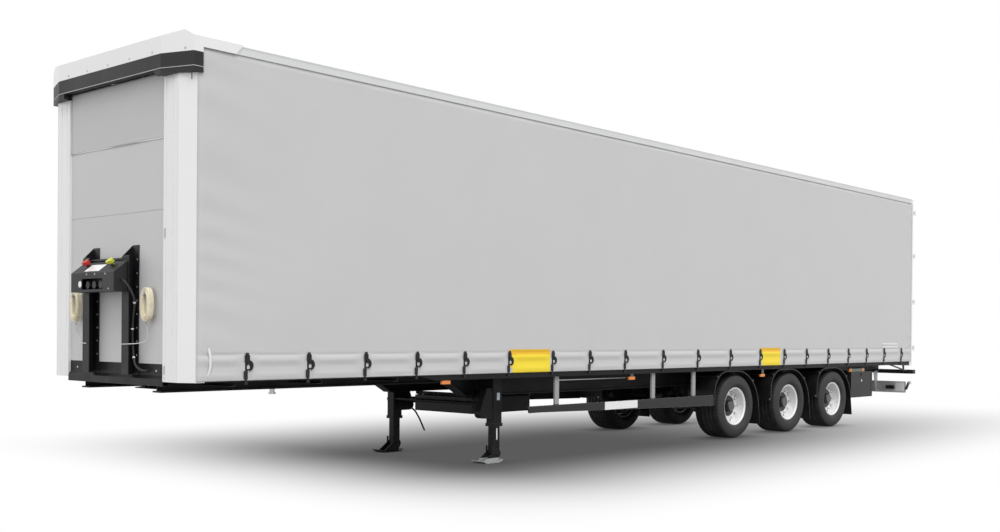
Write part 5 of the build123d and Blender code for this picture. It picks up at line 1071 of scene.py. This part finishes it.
seated("leg_plate", "landing_gear", plate_shape(0.046, 0.082, 0.0016),
       [(along(3.835), 3.0, 0.735)], (0, -1, 0), pale_plate)
seated("leg_label", "landing_gear", plate_shape(0.018, 0.130, 0.0012),
       [(along(3.830), 3.0, 0.315)], (0, -1, 0), white_paint)

# %% Clips round the cable, each turned along it
clip_profile = [(-0.007, 0.0092), (-0.007, 0.0118), (0.007, 0.0118), (0.007, 0.0092)]
clip_points, _ = lathe(clip_profile, 20, axis="z")
clip_faces = turned_out(clip_points, grid_faces(4, 20, close_rows=True, close_columns=True))
clip_places, clip_turns = [], []
for height in (1.68, 1.45, 1.20):
    above = cable_points[cable_points[:, 2] >= height][-1]
    below = cable_points[cable_points[:, 2] < height][0]
    share = (height - below[2]) / (above[2] - below[2])
    run = (above - below) / np.linalg.norm(above - below)
    across = np.cross(run, [1.0, 0.0, 0.0])
    across /= np.linalg.norm(across)
    clip_places.append(below + share * (above - below))
    clip_turns.append(np.column_stack([across, np.cross(run, across), run]))
points, faces = copies((clip_points, clip_faces), clip_places, clip_turns)
finish_piece(make_object("cable_clips", points, faces), white_webbing)

# %% Latch plates on the near post, a dark plate as painted shade of a slot at its top, and two reflective stripes on the left curtain
post_marks = [(cad_high.x + 1, 0.888, z) for z in (1.100, 2.274)]
seated("post_catches", "front_posts", plate_shape(0.026, 0.070, 0.004), post_marks, (-1, 0, 0),
       galvanised)
seated("post_catch_screws", "front_posts", dome_head(0.008, 0.006),
       [(cad_high.x + 1, 0.888, z) for z in (1.035, 2.225)], (-1, 0, 0), bare_steel)
# Painted shade: a thin dark plate stands for the shade inside the slit near each post's top.
seated("post_slot_shades", "front_posts", plate_shape(0.008, 0.060, 0.0012),
       [(cad_high.x + 1, sign * 1.205, 3.575) for sign in (1, -1)], (-1, 0, 0), dark_plastic)
stripe_points, stripe_faces = soft_box((0.570, 0.0010, 0.026), 0.0003)
points, faces = copies((stripe_points, turned_out(stripe_points, stripe_faces)),
                       [(along(12.72), cloth_face + 0.0042, z) for z in (1.322, 1.272)])
finish_piece(make_object("curtain_stripes", points, faces, smooth=False), white_webbing)

# %% The pull strap at the curtain's front corner
pull = np.linspace(0, 1, 25)
pull_line = np.column_stack([along(0.186 + 0.016 * np.sin(np.pi * pull)),
                             cloth_face + 0.0035 + 0.010 * np.sin(np.pi * pull), 1.300 - 0.250 * pull])
points, faces = ribbon(pull_line, (1.0, 0.0, 0.0), 0.025, 0.0024)
finish_piece(make_object("curtain_pull_strap", points, faces), white_webbing)
end_points, end_faces = soft_box((0.034, 0.004, 0.022), 0.001)
points, faces = copies((end_points, turned_out(end_points, end_faces)),
                       [(along(0.186), cloth_face + 0.0018, z) for z in (1.300, 1.050)])
finish_piece(make_object("pull_strap_ends", points, faces, smooth=False), white_webbing)

# %% [markdown]
# ## The side raves and the tensioners
# The rave is a folded channel. Its lower edge is only a thin line under the curtain as far as the landing
# legs, and then drops to its full depth, so the channel's section is carried along four stations. Its two end
# caps are wound against its sides. Each tensioner is a dark strap end, a round over-centre lever open to the
# front, its clamp, and a paler catch plate behind, repeated at every strap. The right side's are the left's
# with their faces reversed, and lose the small triangles at their blocks' corners.

# %% Rave channels
rave_low, rave_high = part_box("side_rave_left")
rave_wall, rave_lip = 0.006, 0.044
shallow_foot = 0.999
rave_stations = [(wall_x - rave_high.x, shallow_foot), (2.500, shallow_foot), (2.680, rave_low.z),
                 (wall_x - rave_low.x, rave_low.z)]
rave_points = []
for setback, foot in rave_stations:
    outer_y, top_z = rave_face, rave_high.z
    section_yz = [(outer_y, top_z), (outer_y, foot), (outer_y - rave_wall - rave_lip, foot),
                  (outer_y - rave_wall - rave_lip, foot + rave_wall), (outer_y - rave_wall, foot + rave_wall),
                  (outer_y - rave_wall, top_z - rave_wall), (rave_low.y, top_z - rave_wall), (rave_low.y, top_z)]
    rave_points += [(along(setback), y, z) for y, z in section_yz]
rave_points = np.array(rave_points)
last = 8 * (len(rave_stations) - 1)
cap_faces = np.array([[0, 5, 6, 7], [0, 1, 4, 5], [1, 2, 3, 4]])
rave_faces = np.vstack([grid_faces(len(rave_stations), 8, close_columns=True)[:, ::-1], cap_faces[:, ::-1],
                        last + cap_faces])
for side, sign in (("left", 1), ("right", -1)):
    points = rave_points * np.array([1, sign, 1])
    rave = make_object(f"rave_channel_{side}", points, turned_out(points, rave_faces), smooth=False)
    finish_piece(rave, chassis_paint, replaces=[f"side_rave_{side}"])

# %% Tensioner levers, clamps and catch plates
lever_paint = make_material("lever_paint", (0.010, 0.010, 0.011), 0.4, drift=0.1, grain_depth=0.1,
                            edge_colour=(0.14, 0.14, 0.145), edge_amount=0.6, specular=0.3)
catch_steel = make_material("catch_steel", (0.55, 0.55, 0.555), 0.45, metallic=0.2, drift=0.05, grain_depth=0.06)
strap_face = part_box("tensioners_left")[1].y
lever_turn = np.radians(np.linspace(-78, 78, 14))
lever_section = [(0.026, -0.0035), (0.050, -0.0035), (0.050, 0.0035), (0.026, 0.0035)]
lever_ring = np.array([[(-0.012 - radius * np.cos(a), out, 1.140 + radius * np.sin(a))
                        for radius, out in lever_section] for a in lever_turn]).reshape(-1, 3)


def capped_rings(count):
    """The faces of a bar made of this many rings of four points, with a quad that closes each end."""
    end = 4 * (count - 1)
    return np.vstack([grid_faces(count, 4, close_columns=True), [[3, 2, 1, 0]],
                      [[end, end + 1, end + 2, end + 3]]])


def block(size, middle, bevel=0.0025):
    """A bevelled box of this size about this place."""
    points, faces = soft_box(size, bevel)
    return points + np.asarray(middle, float), turned_out(points, faces)


dark_parts = stack([(lever_ring, turned_out(lever_ring, capped_rings(len(lever_turn)))),
                    block((0.048, 0.008, 0.066), (-0.004, 0, 1.200)),
                    block((0.028, 0.010, 0.022), (-0.004, 0, 1.241)),
                    block((0.036, 0.009, 0.074), (0.011, 0, 1.058))])
pale_parts = stack([block((0.046, 0.003, 0.058), (-0.024, -0.003, 1.042), 0.001),
                    block((0.026, 0.006, 0.030), (-0.012, 0.001, 1.125), 0.002)])
for side, sign in (("left", 1), ("right", -1)):
    places = [(along(s), sign * (strap_face - 0.0055), 0) for s in buckle_setbacks]
    for name, (points, faces), material in (("levers", dark_parts, lever_paint),
                                            ("catches", pale_parts, catch_steel)):
        shape = points * np.array([1, sign, 1])
        all_points, all_faces = copies((shape, faces if sign > 0 else faces[:, ::-1]), places)
        piece = make_object(f"tensioner_{name}_{side}", all_points, all_faces, smooth=False)
        finish_piece(piece, material)


# %% Fascias that close the roof's two ends: over the rear header, and from the sheet up to the cap
def fascia(front_x, rear_x, across, low_z, high_z):
    """An upright plate whose lower and upper edges follow two curves: a ring of four points at each y."""
    rings = [[(front_x, y, low), (rear_x, y, low), (rear_x, y, high), (front_x, y, high)]
             for y, low, high in zip(across, low_z, high_z)]
    points = np.array(rings).reshape(-1, 3)
    return points, turned_out(points, capped_rings(len(rings)))


fascia_y = np.linspace(-1.2, 1.2, 49)
under_sheet = sheet_top(fascia_y) - cloth_thickness - 0.0003
rear_fascia = fascia(along(roof_rear) + 0.015, along(roof_rear) + 0.005, fascia_y,
                     np.full(len(fascia_y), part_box("rear_frame")[1].z), under_sheet)
cap_back = along(cap_rear) + 0.030
cap_roof = np.array([surface_place("front_roof_cap", (cap_back, y, sheet_top(y) + 0.004), (0, 0, 1))[0][2]
                     for y in fascia_y])
cap_fascia = fascia(cap_back + 0.005, cap_back - 0.005, fascia_y, sheet_top(fascia_y) + 0.0003, cap_roof - 0.0003)
points, faces = stack([rear_fascia, cap_fascia])
finish_piece(make_object("roof_fascias", points, faces, smooth=False), white_paint)

# %% [markdown]
# ## Small things under the floor
# An air pipe runs under the rave to the second marker lamp, the mudguards are bolted at their front edges,
# the tool box has a bright latch and a lamp strip, and the rear beam carries a socket block behind each lamp.

# %% Air pipe
pipe_shape = lathe([(along(5.735), 0.0001), (along(5.733), 0.007), (along(4.495), 0.007), (along(4.493), 0.0001)],
                   12, axis="x")
pipe_place = np.array([0.0, 1.196, 0.907])
points = pipe_shape[0] + pipe_place
pipe = make_object("air_pipe", points, turned_out(points, pipe_shape[1]))
finish_piece(pipe, galvanised)

# %% Mudguard bolts
guard_bolts = []
for number in (1, 2, 3):
    low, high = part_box(f"tyre_{number}_left")
    front = (low.x + high.x) / 2 + 0.70
    guard_bolts += [(front, sign * y, 0.512) for sign in (1, -1) for y in (1.225, 0.86)]
seated("mudguard_bolts", "mudguards", dome_head(0.012, 0.007), guard_bolts, (-1, 0, 0), bare_steel)

# %% Wheel nut caps on the CAD studs
stud_count, stud_circle = 10, 0.168
stud_angle = 2 * np.pi * np.arange(stud_count) / stud_count
for number in (1, 2, 3):
    for side, sign in (("left", 1), ("right", -1)):
        low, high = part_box(f"rim_{number}_{side}")
        nut_starts = np.column_stack([(low.x + high.x) / 2 + stud_circle * np.cos(stud_angle),
                                      np.full(stud_count, sign * 3.0), axle_z + stud_circle * np.sin(stud_angle)])
        seated(f"wheel_nuts_{number}_{side}", f"rim_{number}_{side}", dome_head(0.0155, 0.016, 10), nut_starts,
               (0, -sign, 0), bare_steel, body=f"wheel_{number}_{side}")

# %% Tool box latch and lamp strip
lid_low, lid_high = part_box("tool_box_lid")
tool_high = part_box("tool_box")[1]
latch_x = (lid_low.x + lid_high.x) / 2
seated("tool_box_latch", "tool_box_lid", dome_head(0.021, 0.004, 24), [(latch_x, 3.0, lid_high.z - 0.150)],
       (0, -1, 0), bare_steel, body="tool_box_lid")
seated("tool_box_latch_plate", "tool_box_lid", plate_shape(0.090, 0.026, 0.003),
       [(latch_x + 0.01, 3.0, lid_high.z - 0.085)], (0, -1, 0), black_plastic, body="tool_box_lid")
strip_x = along(11.695)
pale_green = make_material("pale_green", (0.20, 0.26, 0.19), 0.4, drift=0.05, grain_depth=0.08)
seated("tool_box_strip", "tool_box", plate_shape(0.340, 0.030, 0.050), [(strip_x, tool_high.y - 0.05, 3.0)],
       (0, 0, -1), pale_green, upward=(0.0, 1.0, 0.0))
seated("tool_box_reflector", "tool_box_lid", dome_head(0.014, 0.004, 16),
       [(along(11.490), 3.0, lid_high.z - 0.035)], (0, -1, 0), red_lens, body="tool_box_lid")
seated("tool_box_strip_lamps", "tool_box", plate_shape(0.085, 0.032, 0.054),
       [(strip_x + shift, tool_high.y - 0.05, 3.0) for shift in (0.213, -0.213)], (0, 0, -1), strip_lens,
       upward=(0.0, 1.0, 0.0))

# %% Socket blocks and end plates on the underrun beam, and the buffers' struts
seated("lamp_sockets", "underrun_beam", plate_shape(0.160, 0.062, 0.034),
       [(along(13.0), sign * 0.915, 0.545) for sign in (1, -1)], (-1, 0, 0), black_plastic)
seated("underrun_end_plates", "underrun_beam", plate_shape(0.165, 0.150, 0.003),
       [(along(13.0), sign * 1.095, 0.555) for sign in (1, -1)], (-1, 0, 0), white_paint)
buffer_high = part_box("rear_buffers")[1]
strut_line = np.array([(along(12.95), 1.16, 0.952), (along(13.20), 1.16, 0.905),
                       (buffer_high.x - 0.010, 1.16, 0.840)])
points, faces = stack([ribbon(strut_line * np.array([1, sign, 1]), (0.0, 1.0, 0.0), 0.050, 0.012)
                       for sign in (1, -1)])
finish_piece(make_object("buffer_struts", points, faces, smooth=False), chassis_paint)

# %% [markdown]
# ## The studio
# The photograph was cut out on white, with a soft shadow under the trailer. An even white sky and one broad
# lamp light the side evenly and leave the front a little darker. The camera and mirrors see the floor as a
# white glow. Its broad shadow is not cast: it is painted on that glow by position, with reaches and a depth
# set against the photograph's tones. Only the dark contact close to the tyres and feet comes from the trailer's
# own shape. So the broad shadow stays as it is when a wheel or a door moves, and the lamp's real shadow on the
# floor is not seen.

# %% How bright the floor, the sky and the lamp are
floor_grey = 0.33
sky_strength = 0.96
lamp_strength, lamp_spread = 1.35, math.radians(40)
print("sky", sky_strength, "lamp", lamp_strength)

# %% Floor: a white glow with one broad painted shadow, darkest under the body's middle
floor_material = bpy.data.materials.new("studio_floor")
floor_material.use_nodes = True
floor_tree = floor_material.node_tree
floor_shader = floor_tree.nodes["Principled BSDF"]
floor_shader.inputs["Base Color"].default_value = (floor_grey, floor_grey, floor_grey, 1)
floor_shader.inputs["Roughness"].default_value = 0.9
floor_shader.inputs["Specular IOR Level"].default_value = 0.0
floor_place = floor_tree.nodes.new("ShaderNodeTexCoord")
floor_parts = floor_tree.nodes.new("ShaderNodeSeparateXYZ")
floor_tree.links.new(floor_place.outputs["Object"], floor_parts.inputs[0])
depth_of_shadow = None
# (axis, where the shadow is gone, where it is full)
for axis, gone, full in (("X", along(0.4), along(3.5)), ("X", along(18.0), along(6.5)), ("Y", 4.9, 0.9),
                         ("Y", -6.6, -0.6)):
    fade = add_node(floor_tree, "ShaderNodeMapRange", interpolation_type="SMOOTHSTEP",
                    inputs={"From Min": gone, "From Max": full})
    floor_tree.links.new(floor_parts.outputs[axis], fade.inputs["Value"])
    if depth_of_shadow is None:
        depth_of_shadow = fade.outputs["Result"]
    else:
        deeper = add_node(floor_tree, "ShaderNodeMath", operation="MULTIPLY")
        floor_tree.links.new(depth_of_shadow, deeper.inputs[0])
        floor_tree.links.new(fade.outputs["Result"], deeper.inputs[1])
        depth_of_shadow = deeper.outputs[0]
soft_tone = add_node(floor_tree, "ShaderNodeMapRange", inputs={"To Min": 1.0, "To Max": 0.105})
contact = add_node(floor_tree, "ShaderNodeAmbientOcclusion", samples=8, inputs={"Distance": 0.35})
contact_tone = add_node(floor_tree, "ShaderNodeMapRange", inputs={"To Min": 0.25})
floor_tone = add_node(floor_tree, "ShaderNodeMath", operation="MULTIPLY")
paper = floor_tree.nodes.new("ShaderNodeEmission")
seen_by = floor_tree.nodes.new("ShaderNodeLightPath")
camera_or_mirror = add_node(floor_tree, "ShaderNodeMath", operation="MAXIMUM")
paper_or_bounce = floor_tree.nodes.new("ShaderNodeMixShader")
link_all(floor_tree, [
    (depth_of_shadow, soft_tone.inputs["Value"]), (contact.outputs["AO"], contact_tone.inputs["Value"]),
    (soft_tone.outputs["Result"], floor_tone.inputs[0]), (contact_tone.outputs["Result"], floor_tone.inputs[1]),
    (floor_tone.outputs[0], paper.inputs["Strength"]),
    (seen_by.outputs["Is Camera Ray"], camera_or_mirror.inputs[0]),
    (seen_by.outputs["Is Glossy Ray"], camera_or_mirror.inputs[1]),
    (camera_or_mirror.outputs[0], paper_or_bounce.inputs["Fac"]),
    (floor_shader.outputs[0], paper_or_bounce.inputs[1]), (paper.outputs[0], paper_or_bounce.inputs[2]),
    (paper_or_bounce.outputs[0], floor_tree.nodes["Material Output"].inputs["Surface"])])
floor_half = 90.0
floor_points = np.array([[x, y, 0.0] for x, y in ((-1, -1), (1, -1), (1, 1), (-1, 1))]) * floor_half
floor = make_object("studio_floor", floor_points, np.array([[0, 1, 2, 3]]), smooth=False)
floor.data.materials.append(floor_material)

# %% Sky and lamp
world = bpy.data.worlds.new("studio_sky")
bpy.context.scene.world = world
world.use_nodes = True
sky = world.node_tree
background = sky.nodes["Background"]
background.inputs["Color"].default_value = (1, 1, 1, 1)
background.inputs["Strength"].default_value = sky_strength
seen = add_node(sky, "ShaderNodeBackground", inputs={"Color": (1, 1, 1, 1), "Strength": 1.0})
ray = sky.nodes.new("ShaderNodeLightPath")
camera_or_gloss = add_node(sky, "ShaderNodeMath", operation="MAXIMUM")
any_seen = add_node(sky, "ShaderNodeMath", operation="MAXIMUM")
choose = sky.nodes.new("ShaderNodeMixShader")
sky.links.new(ray.outputs["Is Camera Ray"], camera_or_gloss.inputs[0])
sky.links.new(ray.outputs["Is Glossy Ray"], camera_or_gloss.inputs[1])
sky.links.new(camera_or_gloss.outputs[0], any_seen.inputs[0])
sky.links.new(ray.outputs["Is Transmission Ray"], any_seen.inputs[1])
sky.links.new(any_seen.outputs[0], choose.inputs["Fac"])
sky.links.new(background.outputs[0], choose.inputs[1])
sky.links.new(seen.outputs[0], choose.inputs[2])
sky.links.new(choose.outputs[0], sky.nodes["World Output"].inputs["Surface"])

sun_data = bpy.data.lights.new("broad_lamp", "SUN")
sun_data.energy = lamp_strength
sun_data.angle = lamp_spread
sun = bpy.data.objects.new("broad_lamp", sun_data)
sun_from = np.array([0.35, 0.62, 1.0])
bpy.context.scene.collection.objects.link(sun)
lamp_z = sun_from / np.linalg.norm(sun_from)
lamp_x = np.cross([0, 0, 1], lamp_z)
lamp_x /= np.linalg.norm(lamp_x)
lamp_turn = np.column_stack([lamp_x, np.cross(lamp_z, lamp_x), lamp_z])
sun.matrix_world = Matrix(lamp_turn.tolist()).to_4x4()
bpy.context.scene.view_settings.view_transform = "Standard"

# %% Sizes for the record
print("cad box", [round(v, 3) for v in (*cad_low, *cad_high)])
